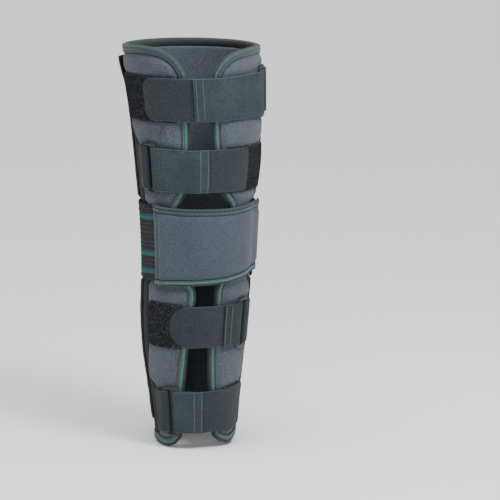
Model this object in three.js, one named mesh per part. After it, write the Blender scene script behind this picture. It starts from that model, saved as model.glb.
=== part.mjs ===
import * as THREE from "three";

// Knee immobilizer: a foam wrap closed in front by four straps and a knee pad, in the shape it has
// when worn. Lengths are millimetres and angles are degrees. +Z is up, -Y is the front, +X is the
// inner side. The origin lies in the middle of the hollow, level with the middle of the knee pad.
// A place on the wrap is given by its angle round the hollow (0 in front, positive to the inner
// side), its height, and its lift, which is the distance outwards from the hollow's wall.

// Driving dimensions
const BRACE_HEIGHT = 485; // lowest edge to highest edge
const KNEE_HEIGHT = 245; // lowest edge to the middle of the knee pad
const HOLLOW_WIDTH = 152; // inside width at the top edge
const FOAM = 6; // foam laminate where a strap presses on it
const PUFF = 1.8; // how far the foam swells between the straps
const EDGE_DIP = 1; // how far the foam thins towards its stitched edges
const SIDE_FOAM = 5.4; // the dark side panels
const BINDING_WIDTH = 10; // edge tape seen from the front
const SEAM_GAP = 0.5; // between pieces sewn side by side
const LAYER_GAP = 0.6; // between pieces that lie on each other
const ELASTIC_GAP = 0.9; // between the knee elastic and the foam under it
const SEAM_ANGLE_BACK = 116; // where the side panels meet the back panel
const PATCH = 1.6; // loop patch thickness
const PATCH_HEIGHT = 55;
const STRAP_WIDTH = 50.8;
const WEBBING = 1.6; // strap webbing thickness
const HOOK_TAB = 1.6; // hook tab thickness
const LAP = 10; // how far the webbing overlaps the hook tab
const RETURN_LENGTH = 20; // webbing folded back under the strap
const RING_LENGTH = 63;
const RING_WIDTH = 20;
const RING_BAR = 5;
const RING_THICKNESS = 3;
const RING_CORNER = 8;
const RING_CLEARANCE = 0.4;
const SLEEVE_WIDTH = 30;
const SLEEVE_THICKNESS = 3;
const SLEEVE_ANGLE = 103;
const ELASTIC = 1.8; // knee elastic between its ribs
const RIB = 0.7; // how far the ribs stand up
const ELASTIC_HEIGHT = 93;
const ELASTIC_TUCK = 8; // degrees of elastic under each end of the knee pad
const PAD = 4.6; // knee pad thickness
const PAD_END = 2.2; // knee pad thickness at its two sewn ends
const PAD_TAPER = 12; // degrees in which the pad reaches its thickness
const PAD_CROWN = 1; // how far the pad's middle swells
const PAD_BINDING = 8;
const PAD_HEIGHT = 93; // at the middle of the front

// The hollow from the lowest edge to the highest. at is a share of the brace's height. width and
// depth are half sizes and side and back are shifts, all as shares of the hollow's width.
const SECTIONS = [
  { at: 0.0, width: 0.283, depth: 0.3, side: -0.036, back: 0.02 },
  { at: 0.05, width: 0.29, depth: 0.308, side: -0.037, back: 0.026 },
  { at: 0.113, width: 0.307, depth: 0.331, side: -0.038, back: 0.036 },
  { at: 0.175, width: 0.333, depth: 0.362, side: -0.039, back: 0.049 },
  { at: 0.237, width: 0.357, depth: 0.388, side: -0.039, back: 0.056 },
  { at: 0.32, width: 0.375, depth: 0.408, side: -0.034, back: 0.046 },
  { at: 0.412, width: 0.384, depth: 0.411, side: -0.02, back: 0.02 },
  { at: 0.505, width: 0.391, depth: 0.412, side: -0.017, back: -0.008 },
  { at: 0.608, width: 0.41, depth: 0.431, side: -0.015, back: -0.01 },
  { at: 0.701, width: 0.443, depth: 0.455, side: -0.008, back: -0.006 },
  { at: 0.794, width: 0.461, depth: 0.474, side: -0.018, back: 0.0 },
  { at: 0.897, width: 0.481, depth: 0.494, side: -0.04, back: 0.0 },
  { at: 1.0, width: 0.5, depth: 0.513, side: -0.059, back: 0.0 },
];

// Front edges of the two wings, as angles. The wings part behind the knee pad to leave a window.
const FRONT_EDGES = [
  { at: 0.03, outer: -24.3, inner: 21 },
  { at: 0.082, outer: -20.8, inner: 16 },
  { at: 0.142, outer: -18.8, inner: 13.4 },
  { at: 0.196, outer: -15, inner: 11.6 },
  { at: 0.254, outer: -11.5, inner: 11 },
  { at: 0.309, outer: -8.4, inner: 13 },
  { at: 0.369, outer: -5.6, inner: 15.4 },
  { at: 0.408, outer: -6.9, inner: 16.1 },
  { at: 0.436, outer: -18, inner: 22 },
  { at: 0.464, outer: -28, inner: 30 },
  { at: 0.505, outer: -33, inner: 33.5 },
  { at: 0.546, outer: -32.5, inner: 33 },
  { at: 0.578, outer: -30.5, inner: 31 },
  { at: 0.606, outer: -24.8, inner: 29.8 },
  { at: 0.643, outer: -16.9, inner: 19.2 },
  { at: 0.701, outer: -13.5, inner: 11.5 },
  { at: 0.773, outer: -11.2, inner: 9.2 },
  { at: 0.856, outer: -10.2, inner: 10 },
  { at: 0.93, outer: -10.6, inner: 13 },
  { at: 0.955, outer: -14, inner: 18 },
  { at: 0.974, outer: -19, inner: 25 },
];

// Seams between the wings and the side panels, as angles. The outer seam comes forward at the
// lowest strap, where the ring's tab is sewn into it.
const REAR_SEAMS = [
  { at: 0.0, outer: -76, inner: 82 },
  { at: 0.02, outer: -68, inner: 80 },
  { at: 0.04, outer: -64, inner: 79 },
  { at: 0.148, outer: -64, inner: 79 },
  { at: 0.17, outer: -79, inner: 79 },
  { at: 0.254, outer: -69, inner: 75 },
  { at: 0.38, outer: -68.5, inner: 73 },
  { at: 0.6, outer: -71, inner: 72 },
  { at: 0.745, outer: -71, inner: 73 },
  { at: 0.79, outer: -84, inner: 82 },
  { at: 0.85, outer: -90, inner: 86 },
  { at: 1.0, outer: -90, inner: 86 },
];

// Upper and lower edges of the wings. across runs from the rear seam to the front corner, and the
// edges are shares of the brace's height.
const LOBES = [
  { across: 0, outerTop: 0.993, innerTop: 0.99, outerBottom: 0.005, innerBottom: 0.02 },
  { across: 0.25, outerTop: 0.997, innerTop: 0.993, outerBottom: 0.0, innerBottom: 0.01 },
  { across: 0.5, outerTop: 1.0, innerTop: 0.993, outerBottom: 0.0, innerBottom: 0.004 },
  { across: 0.74, outerTop: 0.998, innerTop: 0.989, outerBottom: 0.006, innerBottom: 0.01 },
  { across: 0.89, outerTop: 0.989, innerTop: 0.983, outerBottom: 0.016, innerBottom: 0.018 },
  { across: 1, outerTop: 0.974, innerTop: 0.974, outerBottom: 0.03, innerBottom: 0.03 },
];

// Straps from the top. side is where the ring sits: 1 inner, -1 outer. All other angles count
// from the front towards the ring: ring middle, anchor tab's rear end, webbing's lapped end, hook
// tab's free end and the two ends of the loop patch. corner rounds the hook tab's free end, and
// riseOuter and riseInner lift the strap 70 degrees round from the front.
const STRAPS = [
  {
    side: 1, ring: 71, anchor: 87, lap: -5.4, tabEnd: -50.5, patchFrom: -22,
    patchTo: -88, corner: 14, riseOuter: -1, riseInner: 4,
  },
  {
    side: -1, ring: 50.5, anchor: 67, lap: -5, tabEnd: -44, patchFrom: -22,
    patchTo: -76, corner: 3, riseOuter: 2, riseInner: 0,
  },
  {
    side: 1, ring: 51, anchor: 68, lap: 25.5, tabEnd: -31.8, patchFrom: -20,
    patchTo: -63.5, corner: 24, riseOuter: 0, riseInner: 1.4,
  },
  {
    side: -1, ring: 34.5, anchor: 60, lap: -5, tabEnd: -68, patchFrom: -30,
    patchTo: -64, corner: 5, riseOuter: -1, riseInner: 5,
  },
];

// Knee pad edges against its angle, as shares of the pad's height from its middle line.
const PAD_EDGES = [
  { angle: -50, top: 0.56, bottom: -0.495 },
  { angle: -25, top: 0.535, bottom: -0.478 },
  { angle: 0, top: 0.53, bottom: -0.465 },
  { angle: 30, top: 0.527, bottom: -0.44 },
  { angle: 60, top: 0.546, bottom: -0.384 },
  { angle: 88, top: 0.57, bottom: -0.35 },
];

// Gaps in height from the knee pad to the nearest strap and from that strap to the next, as shares
// of what the pad and the two straps leave free on that side of the knee.
const STRAP_GAPS = { above: [0.19, 0.3912], below: [0.2396, 0.5565] };

// Ribs of the knee elastic from its lower edge, as shares of its height. lift is a share of RIB.
const ELASTIC_RIBS = [
  { at: 0.0, lift: 0.4 }, { at: 0.06, lift: 1 }, { at: 0.13, lift: 0 }, { at: 0.18, lift: 0.5 },
  { at: 0.23, lift: 0 }, { at: 0.3, lift: 1 }, { at: 0.37, lift: 0 }, { at: 0.41, lift: 0.5 },
  { at: 0.455, lift: 0 }, { at: 0.5, lift: 1 }, { at: 0.545, lift: 0 }, { at: 0.59, lift: 1 },
  { at: 0.635, lift: 0 }, { at: 0.68, lift: 1 }, { at: 0.725, lift: 0 }, { at: 0.77, lift: 1 },
  { at: 0.815, lift: 0 }, { at: 0.855, lift: 0.5 }, { at: 0.895, lift: 0 }, { at: 1.0, lift: 0.8 },
];

// Lift of the stay sleeve's middle, as shares of its thickness: the outer sleeve's upper end stands
// away from the wrap.
const SLEEVE_LIFT = [
  { at: 0.055, outer: 0, inner: 0 },
  { at: 0.88, outer: 0, inner: 0 },
  { at: 0.925, outer: 0.9, inner: 0 },
  { at: 0.96, outer: 1.8, inner: 0 },
];

const COLORS = {
  foam: 0x626970,
  side: 0x323436,
  binding: 0x5f928a,
  webbing: 0x4b5a5e,
  hook: 0x414b50,
  loop: 0x2d3037,
  ring: 0x3c3e44,
  pad: 0x5c6670,
  elastic: 0x37373c,
};

const PRESS_MARGIN = 2; // pressed foam beyond a strap's edge
const KNEE_MARGIN = 15; // pressed foam beyond the knee elastic's edge
const SWELL_RAMP = 9; // height in which the foam swells to its full thickness
const ROW_STEP = 34; // greatest height of a row of a wing
const ROW_LEAST = 5; // marks closer than this share a row
const LOBE_STEPS = 2; // rows in each rounded end of a wing
const WING_COLUMNS = 8;
const SIDE_COLUMNS = 4;
const BACK_COLUMNS = 14;
const BACK_STEP = 40; // greatest height of a row of the back panel
const STRAP_ROWS = 2;
const STRAP_STEP = 9; // length of one facet along a strap
const PAD_COLUMNS = 20;
const PAD_ROWS = 6;
const PAD_EDGE_DIP = 0.4; // how far the pad thins where its tapes meet it
const SLEEVE_STEPS = 17;
const ELASTIC_STEP = 9.2; // angle of one facet round the elastic
const PAD_MIDDLE = ((PAD_EDGES[0].top + PAD_EDGES[0].bottom) / 2) * PAD_HEIGHT;
const ELASTIC_FROM = PAD_MIDDLE - ELASTIC_HEIGHT / 2; // the elastic's lower edge

const toRadians = (angle) => (angle * Math.PI) / 180;
const heightAt = (share) => share * BRACE_HEIGHT - KNEE_HEIGHT;
const shareAt = (height) => (height + KNEE_HEIGHT) / BRACE_HEIGHT;
const mix = (from, to, share) => from + (to - from) * share;

// Heights of the straps' middle lines in front, from the top.
function strapHeights() {
  const top = PAD_EDGES[0].top * PAD_HEIGHT;
  const bottom = PAD_EDGES[0].bottom * PAD_HEIGHT;
  const above = BRACE_HEIGHT - KNEE_HEIGHT - top - 2 * STRAP_WIDTH;
  const below = KNEE_HEIGHT + bottom - 2 * STRAP_WIDTH;
  const second = top + above * STRAP_GAPS.above[0] + STRAP_WIDTH / 2;
  const third = bottom - below * STRAP_GAPS.below[0] - STRAP_WIDTH / 2;
  const first = second + STRAP_WIDTH + above * STRAP_GAPS.above[1];
  const fourth = third - STRAP_WIDTH - below * STRAP_GAPS.below[1];
  return [first, second, third, fourth];
}
const STRAP_HEIGHTS = strapHeights();
const heightOf = (strap) => STRAP_HEIGHTS[STRAPS.indexOf(strap)];
const smooth = (share) => THREE.MathUtils.smoothstep(share, 0, 1);

// Reads one column of a table at a place on its key, on a smooth curve through the rows.
function lookUp(rows, key, column, place) {
  const last = rows.length - 1;
  let k = 0;
  while (k < last - 1 && place > rows[k + 1][key]) k++;
  const slope = (n) => {
    const before = rows[Math.max(n - 1, 0)];
    const after = rows[Math.min(n + 1, last)];
    return (after[column] - before[column]) / (after[key] - before[key]);
  };
  const span = rows[k + 1][key] - rows[k][key];
  const t = THREE.MathUtils.clamp((place - rows[k][key]) / span, 0, 1);
  const a = rows[k][column];
  const b = rows[k + 1][column];
  const rise = t * t * (3 - 2 * t);
  const leave = t * (1 - t) * (1 - t) * span * slope(k);
  const arrive = t * t * (1 - t) * span * slope(k + 1);
  return a + (b - a) * rise + leave - arrive;
}

function hollowAt(height) {
  const read = (column) => lookUp(SECTIONS, "at", column, shareAt(height)) * HOLLOW_WIDTH;
  return { width: read("width"), depth: read("depth"), side: read("side"), back: read("back") };
}

// The point at an angle, a height and a lift.
function pointAt(angle, height, lift) {
  const hollow = hollowAt(height);
  const turn = toRadians(angle);
  return [
    hollow.side + (hollow.width + lift) * Math.sin(turn),
    hollow.back - (hollow.depth + lift) * Math.cos(turn),
    height,
  ];
}

// Millimetres along the wrap for one degree at a height.
function degreeLength(height) {
  const hollow = hollowAt(height);
  return toRadians((hollow.width + hollow.depth) / 2 + FOAM);
}

// A mesh from points and triangles, turned so that its faces point outwards.
function solid(points, triangles) {
  let volume = 0;
  const [a, b, c] = [new THREE.Vector3(), new THREE.Vector3(), new THREE.Vector3()];
  for (const [i, j, k] of triangles) {
    a.fromArray(points[i]);
    b.fromArray(points[j]);
    c.fromArray(points[k]);
    volume += a.dot(b.cross(c));
  }
  const index = triangles.flatMap(([i, j, k]) => (volume < 0 ? [i, k, j] : [i, j, k]));
  const geometry = new THREE.BufferGeometry();
  geometry.setAttribute("position", new THREE.Float32BufferAttribute(points.flat(), 3));
  geometry.setIndex(index);
  geometry.computeVertexNormals();
  return geometry;
}

// A closed wall between two grids of points of the same size.
function wall(near, far) {
  const rows = near.length;
  const columns = near[0].length;
  const points = [...near.flat(), ...far.flat()];
  const triangles = [];
  const id = (side, row, column) => side * rows * columns + row * columns + column;
  const quad = (p, q, r, s) => triangles.push([p, q, r], [p, r, s]);
  for (let j = 0; j < rows - 1; j++) {
    for (let i = 0; i < columns - 1; i++) {
      quad(id(1, j, i), id(1, j, i + 1), id(1, j + 1, i + 1), id(1, j + 1, i));
      quad(id(0, j, i), id(0, j + 1, i), id(0, j + 1, i + 1), id(0, j, i + 1));
    }
    quad(id(0, j, 0), id(1, j, 0), id(1, j + 1, 0), id(0, j + 1, 0));
    const end = columns - 1;
    quad(id(0, j, end), id(0, j + 1, end), id(1, j + 1, end), id(1, j, end));
  }
  for (let i = 0; i < columns - 1; i++) {
    const top = rows - 1;
    quad(id(0, 0, i), id(0, 0, i + 1), id(1, 0, i + 1), id(1, 0, i));
    quad(id(0, top, i), id(1, top, i), id(1, top, i + 1), id(0, top, i + 1));
  }
  return solid(points, triangles);
}

// A solid through loops of points of the same count, closed on itself or capped at both ends.
function loft(loops, closed) {
  const count = loops[0].length;
  const points = loops.flat();
  const triangles = [];
  const spans = closed ? loops.length : loops.length - 1;
  for (let s = 0; s < spans; s++) {
    const here = s * count;
    const next = ((s + 1) % loops.length) * count;
    for (let k = 0; k < count; k++) {
      const m = (k + 1) % count;
      triangles.push([here + k, here + m, next + m], [here + k, next + m, next + k]);
    }
  }
  if (!closed) {
    const end = (loops.length - 1) * count;
    for (let k = 1; k < count - 1; k++) {
      triangles.push([0, k + 1, k], [end, end + k, end + k + 1]);
    }
  }
  return solid(points, triangles);
}

// Moves a line of places sideways by a distance, to the left of its direction.
function inset(line, distance) {
  return line.map((place, n) => {
    const before = line[Math.max(n - 1, 0)];
    const after = line[Math.min(n + 1, line.length - 1)];
    const scale = degreeLength(place.height);
    const along = (after.angle - before.angle) * scale;
    const up = after.height - before.height;
    const length = Math.hypot(along, up);
    return {
      angle: place.angle - (up / length) * (distance / scale),
      height: place.height + (along / length) * distance,
    };
  });
}

// Heights of the rows of a tall panel: closer together where the straps and the pad dent it.
function panelHeights(lowest, highest) {
  const marks = [lowest, highest];
  for (const { low, high } of pressedBands(0)) {
    marks.push(low, high, low - SWELL_RAMP, high + SWELL_RAMP, (low + high) / 2);
  }
  marks.push(padEdge("bottom", 0) - PRESS_MARGIN, padEdge("top", 0) + PRESS_MARGIN);
  const inside = marks.filter((m) => m >= lowest && m <= highest).sort((a, b) => a - b);
  const heights = [inside[0]];
  for (const mark of inside.slice(1)) {
    const last = heights[heights.length - 1];
    const steps = Math.ceil((mark - last) / ROW_STEP);
    if (mark - last < ROW_LEAST && mark !== highest) continue;
    for (let n = 1; n <= steps; n++) heights.push(mix(last, mark, n / steps));
  }
  return heights;
}

// How far a strap's middle line lies above its height in front.
function strapRise(strap, angle) {
  return (angle < 0 ? strap.riseOuter : strap.riseInner) * (angle / 70) ** 2;
}

// The bands of height where a strap or the knee elastic presses the foam at an angle.
function pressedBands(angle) {
  const bands = STRAPS.map((strap) => {
    const middle = heightOf(strap);
    const rise = strapRise(strap, angle);
    const reach = STRAP_WIDTH / 2 + PRESS_MARGIN;
    return { low: middle + Math.min(rise, 0) - reach, high: middle + Math.max(rise, 0) + reach };
  });
  const low = ELASTIC_FROM - KNEE_MARGIN;
  bands.push({ low, high: ELASTIC_FROM + ELASTIC_HEIGHT + KNEE_MARGIN });
  return bands;
}

// How much the foam swells at a place: nothing under a strap or the knee elastic, all in between.
function swell({ angle, height }) {
  const shares = pressedBands(angle).map(({ low, high }) => {
    const away = Math.max(low - height, height - high) / SWELL_RAMP;
    return smooth(THREE.MathUtils.clamp(away, 0, 1));
  });
  return Math.min(...shares);
}

// The rows of a wing: even steps from the lower lobe up to the lowest fixed height, fixed heights
// past the straps, and even steps up to the upper lobe.
const FIXED_FROM = STRAP_HEIGHTS[3] - STRAP_WIDTH / 4;
const FIXED_TO = STRAP_HEIGHTS[0] + STRAP_WIDTH / 2 + PRESS_MARGIN;

function wingOutline(name) {
  const lobe = (column, share) => heightAt(lookUp(LOBES, "across", name + column, share));
  const front = (height) => lookUp(FRONT_EDGES, "at", name, shareAt(height));
  const rear = (height) => lookUp(REAR_SEAMS, "at", name, shareAt(height));
  const heights = panelHeights(FIXED_FROM, FIXED_TO);
  const side = (edge, lowest, highest) => {
    const line = [];
    for (let n = 0; n < LOBE_STEPS; n++) line.push(mix(lowest, FIXED_FROM, n / LOBE_STEPS));
    line.push(...heights);
    for (let n = 1; n <= LOBE_STEPS; n++) line.push(mix(FIXED_TO, highest, n / LOBE_STEPS));
    return line.map((height) => ({ angle: edge(height), height }));
  };
  const frontLine = side(front, lobe("Bottom", 1), lobe("Top", 1));
  const rearLine = side(rear, lobe("Bottom", 0), lobe("Top", 0));
  const across = (column, from, to) => {
    const line = [];
    for (let n = 0; n <= WING_COLUMNS; n++) {
      const share = n / WING_COLUMNS;
      line.push({ angle: mix(from.angle, to.angle, share), height: lobe(column, share) });
    }
    return line;
  };
  const last = frontLine.length - 1;
  const bottom = across("Bottom", rearLine[0], frontLine[0]);
  const top = across("Top", rearLine[last], frontLine[last]);
  const path = [...bottom, ...frontLine.slice(1, last), ...top.reverse()];
  return { path, rows: frontLine.length, rear };
}

// Splits a path round a wing into its four sides, with the rear side put on the seam.
function wingSides(outline, distance) {
  const turned = outline.path[0].angle < 0 ? distance : -distance;
  const path = distance ? inset(outline.path, turned) : outline.path;
  const cornerLow = WING_COLUMNS;
  const cornerHigh = cornerLow + outline.rows - 1;
  const bottom = path.slice(0, cornerLow + 1);
  const front = path.slice(cornerLow, cornerHigh + 1);
  const top = path.slice(cornerHigh).reverse();
  const toFront = -Math.sign(outline.path[0].angle) * SEAM_GAP / 2;
  const lowest = outline.path[0].height + distance;
  const highest = outline.path[outline.path.length - 1].height - distance;
  const rear = front.map((place, n) => {
    const above = n - (front.length - 1 - LOBE_STEPS);
    let height = place.height;
    if (n < LOBE_STEPS) height = mix(lowest, FIXED_FROM, n / LOBE_STEPS);
    if (above > 0) height = mix(FIXED_TO, highest, above / LOBE_STEPS);
    return { angle: outline.rear(height) + toFront / degreeLength(height), height };
  });
  bottom[0] = rear[0];
  top[0] = rear[rear.length - 1];
  return { bottom, front, top, rear };
}

// The grid of places between a wing's four sides.
function wingGrid({ bottom, front, top, rear }) {
  const rows = front.length;
  return front.map((place, j) => {
    const low = j < LOBE_STEPS ? 1 - j / LOBE_STEPS : 0;
    const above = j - (rows - 1 - LOBE_STEPS);
    const high = above > 0 ? above / LOBE_STEPS : 0;
    return bottom.map((_, i) => {
      const u = i / WING_COLUMNS;
      const blend = (key) =>
        mix(rear[j][key], place[key], u) +
        low * (bottom[i][key] - mix(bottom[0][key], bottom[WING_COLUMNS][key], u)) +
        high * (top[i][key] - mix(top[0][key], top[WING_COLUMNS][key], u));
      return { angle: blend("angle"), height: blend("height") };
    });
  });
}

function wing(name) {
  const grid = wingGrid(wingSides(wingOutline(name), BINDING_WIDTH + SEAM_GAP));
  const last = grid.length - 1;
  const far = grid.map((row, j) =>
    row.map((place, i) => {
      const edge = j === 0 || j === last || i === WING_COLUMNS || i === 0;
      const lift = edge ? FOAM - EDGE_DIP : FOAM + PUFF * swell(place);
      return pointAt(place.angle, place.height, lift);
    }),
  );
  const near = grid.map((row) => row.map((place) => pointAt(place.angle, place.height, 0)));
  return wall(near, far);
}

// The section of an edge tape: shares of its width inwards from the edge, and of the foam's
// thickness outwards.
const TAPE_SECTION = [
  { across: 1, out: 0 },
  { across: 0.12, out: 0 },
  { across: 0, out: 0.3 },
  { across: 0.03, out: 0.8 },
  { across: 0.25, out: 1 },
  { across: 1, out: 0.97 },
];

// An edge tape between an outer line and the same line moved inwards.
function tape(outerLine, innerLine, base, thickness) {
  const loops = outerLine.map((place, n) =>
    TAPE_SECTION.map(({ across, out }) => {
      const angle = mix(place.angle, innerLine[n].angle, across);
      const height = mix(place.height, innerLine[n].height, across);
      return pointAt(angle, height, base(place.angle) + out * thickness(place.angle));
    }),
  );
  return loft(loops, false);
}

function wingBinding(name) {
  const outline = wingOutline(name);
  const turned = outline.path[0].angle < 0 ? BINDING_WIDTH : -BINDING_WIDTH;
  const outer = outline.path.map((place) => ({ ...place }));
  const inner = inset(outline.path, turned);
  const toFront = -Math.sign(outline.path[0].angle) * SEAM_GAP / 2;
  for (const [end, up] of [[0, 1], [outer.length - 1, -1]]) {
    inner[end].height = outer[end].height + up * BINDING_WIDTH;
    for (const place of [outer[end], inner[end]]) {
      place.angle = outline.rear(place.height) + toFront / degreeLength(place.height);
    }
  }
  return tape(outer, inner, () => 0, () => FOAM);
}

// Upper and lower edges of the side and back panels, level with the rear ends of the wings.
function wrapEdge(column, angle) {
  const turn = THREE.MathUtils.euclideanModulo(angle, 360);
  const share = smooth(THREE.MathUtils.clamp((turn - 90) / 180, 0, 1));
  const inner = heightAt(LOBES[0]["inner" + column]);
  const outer = heightAt(LOBES[0]["outer" + column]);
  return mix(inner, outer, share);
}

// Rows of the back panel between its two edge tapes at an angle.
function wrapRows(angle) {
  const inside = BINDING_WIDTH + SEAM_GAP;
  const low = wrapEdge("Bottom", angle) + inside;
  const high = wrapEdge("Top", angle) - inside;
  const rows = Math.ceil((BRACE_HEIGHT - 2 * inside) / BACK_STEP);
  return Array.from({ length: rows + 1 }, (_, j) => mix(low, high, j / rows));
}

// A side panel has its rows level with those of its wing, so that their seam is one line.
function sidePanel(name) {
  const sign = name === "outer" ? -1 : 1;
  const seamLine = wingSides(wingOutline(name), BINDING_WIDTH + SEAM_GAP).rear;
  const near = [];
  const far = [];
  for (const { height } of seamLine) {
    const margin = SEAM_GAP / 2 / degreeLength(height);
    const seam = lookUp(REAR_SEAMS, "at", name, shareAt(height));
    const from = seam + sign * margin;
    const to = sign * (SEAM_ANGLE_BACK - margin);
    const angles = [];
    for (let i = 0; i <= SIDE_COLUMNS; i++) angles.push(mix(from, to, i / SIDE_COLUMNS));
    near.push(angles.map((angle) => pointAt(angle, height, 0)));
    far.push(angles.map((angle) => pointAt(angle, height, SIDE_FOAM)));
  }
  return wall(near, far);
}

function backPanel() {
  const half = SEAM_GAP / 2;
  const columns = Array.from({ length: BACK_COLUMNS + 1 }, (_, i) => i / BACK_COLUMNS);
  const rows = wrapRows(180).length;
  const grid = Array.from({ length: rows }, (_, j) =>
    columns.map((share) => {
      const height = wrapRows(mix(SEAM_ANGLE_BACK, 360 - SEAM_ANGLE_BACK, share))[j];
      const margin = half / degreeLength(height);
      const angle = mix(SEAM_ANGLE_BACK + margin, 360 - SEAM_ANGLE_BACK - margin, share);
      return { angle, height };
    }),
  );
  const near = grid.map((row) => row.map((p) => pointAt(p.angle, p.height, 0)));
  const far = grid.map((row, j) =>
    row.map((p, i) => {
      const edge = j === 0 || j === rows - 1 || i === 0 || i === BACK_COLUMNS;
      return pointAt(p.angle, p.height, FOAM - (edge ? EDGE_DIP : 0));
    }),
  );
  return wall(near, far);
}

// The edge tape round the back, from one wing's rear seam to the other's.
function backBinding(column) {
  const inwards = column === "Top" ? -BINDING_WIDTH : BINDING_WIDTH;
  const steps = 22; // facets along the tape
  const outer = [];
  const inner = [];
  const seamAt = (name, height) => lookUp(REAR_SEAMS, "at", name, shareAt(height));
  for (let n = 0; n <= steps; n++) {
    const share = n / steps;
    const lines = [
      [outer, 0],
      [inner, inwards],
    ];
    for (const [line, move] of lines) {
      const innerEdge = wrapEdge(column, 90) + move;
      const outerEdge = wrapEdge(column, 270) + move;
      const from = seamAt("inner", innerEdge) + SEAM_GAP / 2 / degreeLength(innerEdge);
      const to = 360 + seamAt("outer", outerEdge) - SEAM_GAP / 2 / degreeLength(outerEdge);
      const angle = mix(from, to, share);
      line.push({ angle, height: wrapEdge(column, angle) + move });
    }
  }
  return tape(outer, inner, () => 0, () => FOAM);
}

function staySleeve(name) {
  const sign = name === "outer" ? -1 : 1;
  const base = SIDE_FOAM + LAYER_GAP;
  const profile = [
    { across: -1, out: 0 },
    { across: -0.8, out: 0.8 },
    { across: 0, out: 1 },
    { across: 0.8, out: 0.8 },
    { across: 1, out: 0 },
    { across: 0.4, out: 0 },
    { across: -0.4, out: 0 },
  ];
  const from = heightAt(SLEEVE_LIFT[0].at);
  const to = heightAt(SLEEVE_LIFT[SLEEVE_LIFT.length - 1].at);
  const loops = [];
  for (let n = 0; n <= SLEEVE_STEPS; n++) {
    const height = mix(from, to, n / SLEEVE_STEPS);
    const scale = degreeLength(height);
    const lift = lookUp(SLEEVE_LIFT, "at", name, shareAt(height)) * SLEEVE_THICKNESS;
    loops.push(
      profile.map(({ across, out }) => {
        const angle = sign * SLEEVE_ANGLE + (across * SLEEVE_WIDTH) / 2 / scale;
        return pointAt(angle, height, base + Math.max(lift, 0) + out * SLEEVE_THICKNESS);
      }),
    );
  }
  return loft(loops, false);
}

// Lifts of the layers that make up a strap.
const ON_FOAM = FOAM + LAYER_GAP;
const UNDER_ELASTIC = FOAM + ELASTIC_GAP;
const ON_PATCH = ON_FOAM + PATCH + LAYER_GAP;
const ON_TAB = ON_PATCH + HOOK_TAB + LAYER_GAP;
const FOLD = RING_THICKNESS / 2 + RING_CLEARANCE + WEBBING / 2; // bar's middle to webbing's middle
const RING_LIFT = ON_FOAM + WEBBING / 2 + FOLD;
const BAR_OFFSET = (RING_WIDTH - RING_BAR) / 2;

// A ribbon across the wrap. stations are middle points: along counts in millimetres from the
// front towards the ring, lift is the middle's lift and half is half the ribbon's height.
function ribbon(strap, stations, thickness) {
  const middle = heightOf(strap);
  const scale = degreeLength(middle);
  const near = [];
  const far = [];
  for (let j = 0; j <= STRAP_ROWS; j++) {
    near.push([]);
    far.push([]);
  }
  stations.forEach((station, n) => {
    const before = stations[Math.max(n - 1, 0)];
    const after = stations[Math.min(n + 1, stations.length - 1)];
    const along = after.along - before.along;
    const up = after.lift - before.lift;
    const length = Math.hypot(along, up);
    const side = [(-up / length) * (thickness / 2), (along / length) * (thickness / 2)];
    for (let j = 0; j <= STRAP_ROWS; j++) {
      for (const [grid, sign] of [[near, -1], [far, 1]]) {
        const angle = (strap.side * (station.along + sign * side[0])) / scale;
        const height = middle + strapRise(strap, angle) + mix(-station.half, station.half, j / STRAP_ROWS);
        grid[j].push(pointAt(angle, height, station.lift + sign * side[1]));
      }
    }
  });
  return wall(near, far);
}

// Half height of a strap at a distance from its free end, with rounded corners.
function roundedHalf(distance, corner) {
  const half = STRAP_WIDTH / 2;
  if (distance >= corner) return half;
  return half - corner + Math.sqrt(corner ** 2 - (corner - distance) ** 2);
}

// Ribbon stations round a ring's bar: from the upper layer, round, into the lower layer.
// bar is the bar's middle and towards is 1 where the fold lies on the bar's far side.
function barFold(bar, towards) {
  const centre = bar + towards * (RING_BAR / 2 - 0.6);
  return [90, 54, 18, -18, -54, -90].map((turn) => ({
    along: centre + towards * FOLD * Math.cos(toRadians(turn)),
    lift: RING_LIFT + FOLD * Math.sin(toRadians(turn)),
    half: STRAP_WIDTH / 2,
  }));
}

function webbingStrap(strap) {
  const scale = degreeLength(heightOf(strap));
  const start = strap.lap * scale;
  const bar = strap.ring * scale - BAR_OFFSET;
  const half = STRAP_WIDTH / 2;
  const upper = RING_LIFT + FOLD;
  const lowerEnd = bar - RETURN_LENGTH;
  const onLap = ON_TAB + WEBBING / 2;
  const over = ON_FOAM + 1.5 * WEBBING + LAYER_GAP;
  const lapEnd = start + LAP + 2;
  const rise = bar - RETURN_LENGTH - 4;
  const stations = [{ along: start, lift: onLap, half }];
  stations.push({ along: mix(start, lapEnd, 0.5), lift: onLap, half });
  stations.push({ along: lapEnd, lift: onLap, half });
  const free = rise - lapEnd;
  const steps = Math.max(1, Math.round(free / STRAP_STEP));
  for (let n = 1; n <= steps; n++) {
    const share = n / steps;
    const lift = mix(onLap, over, smooth(Math.min(1, share * 1.6)));
    if (free > 5) stations.push({ along: lapEnd + free * share, lift, half });
  }
  const last = stations[stations.length - 1];
  const overBar = bar - RING_BAR / 2 - 1;
  for (const share of [0.4, 0.75, 1]) {
    const lift = mix(last.lift, upper, smooth(share));
    stations.push({ along: mix(last.along, overBar, share), lift, half });
  }
  stations.push(...barFold(bar, 1));
  for (const share of [0.35, 0.7, 1]) {
    stations.push({ along: mix(bar, lowerEnd, share), lift: ON_FOAM + WEBBING / 2, half });
  }
  return ribbon(strap, stations, WEBBING);
}

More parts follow.
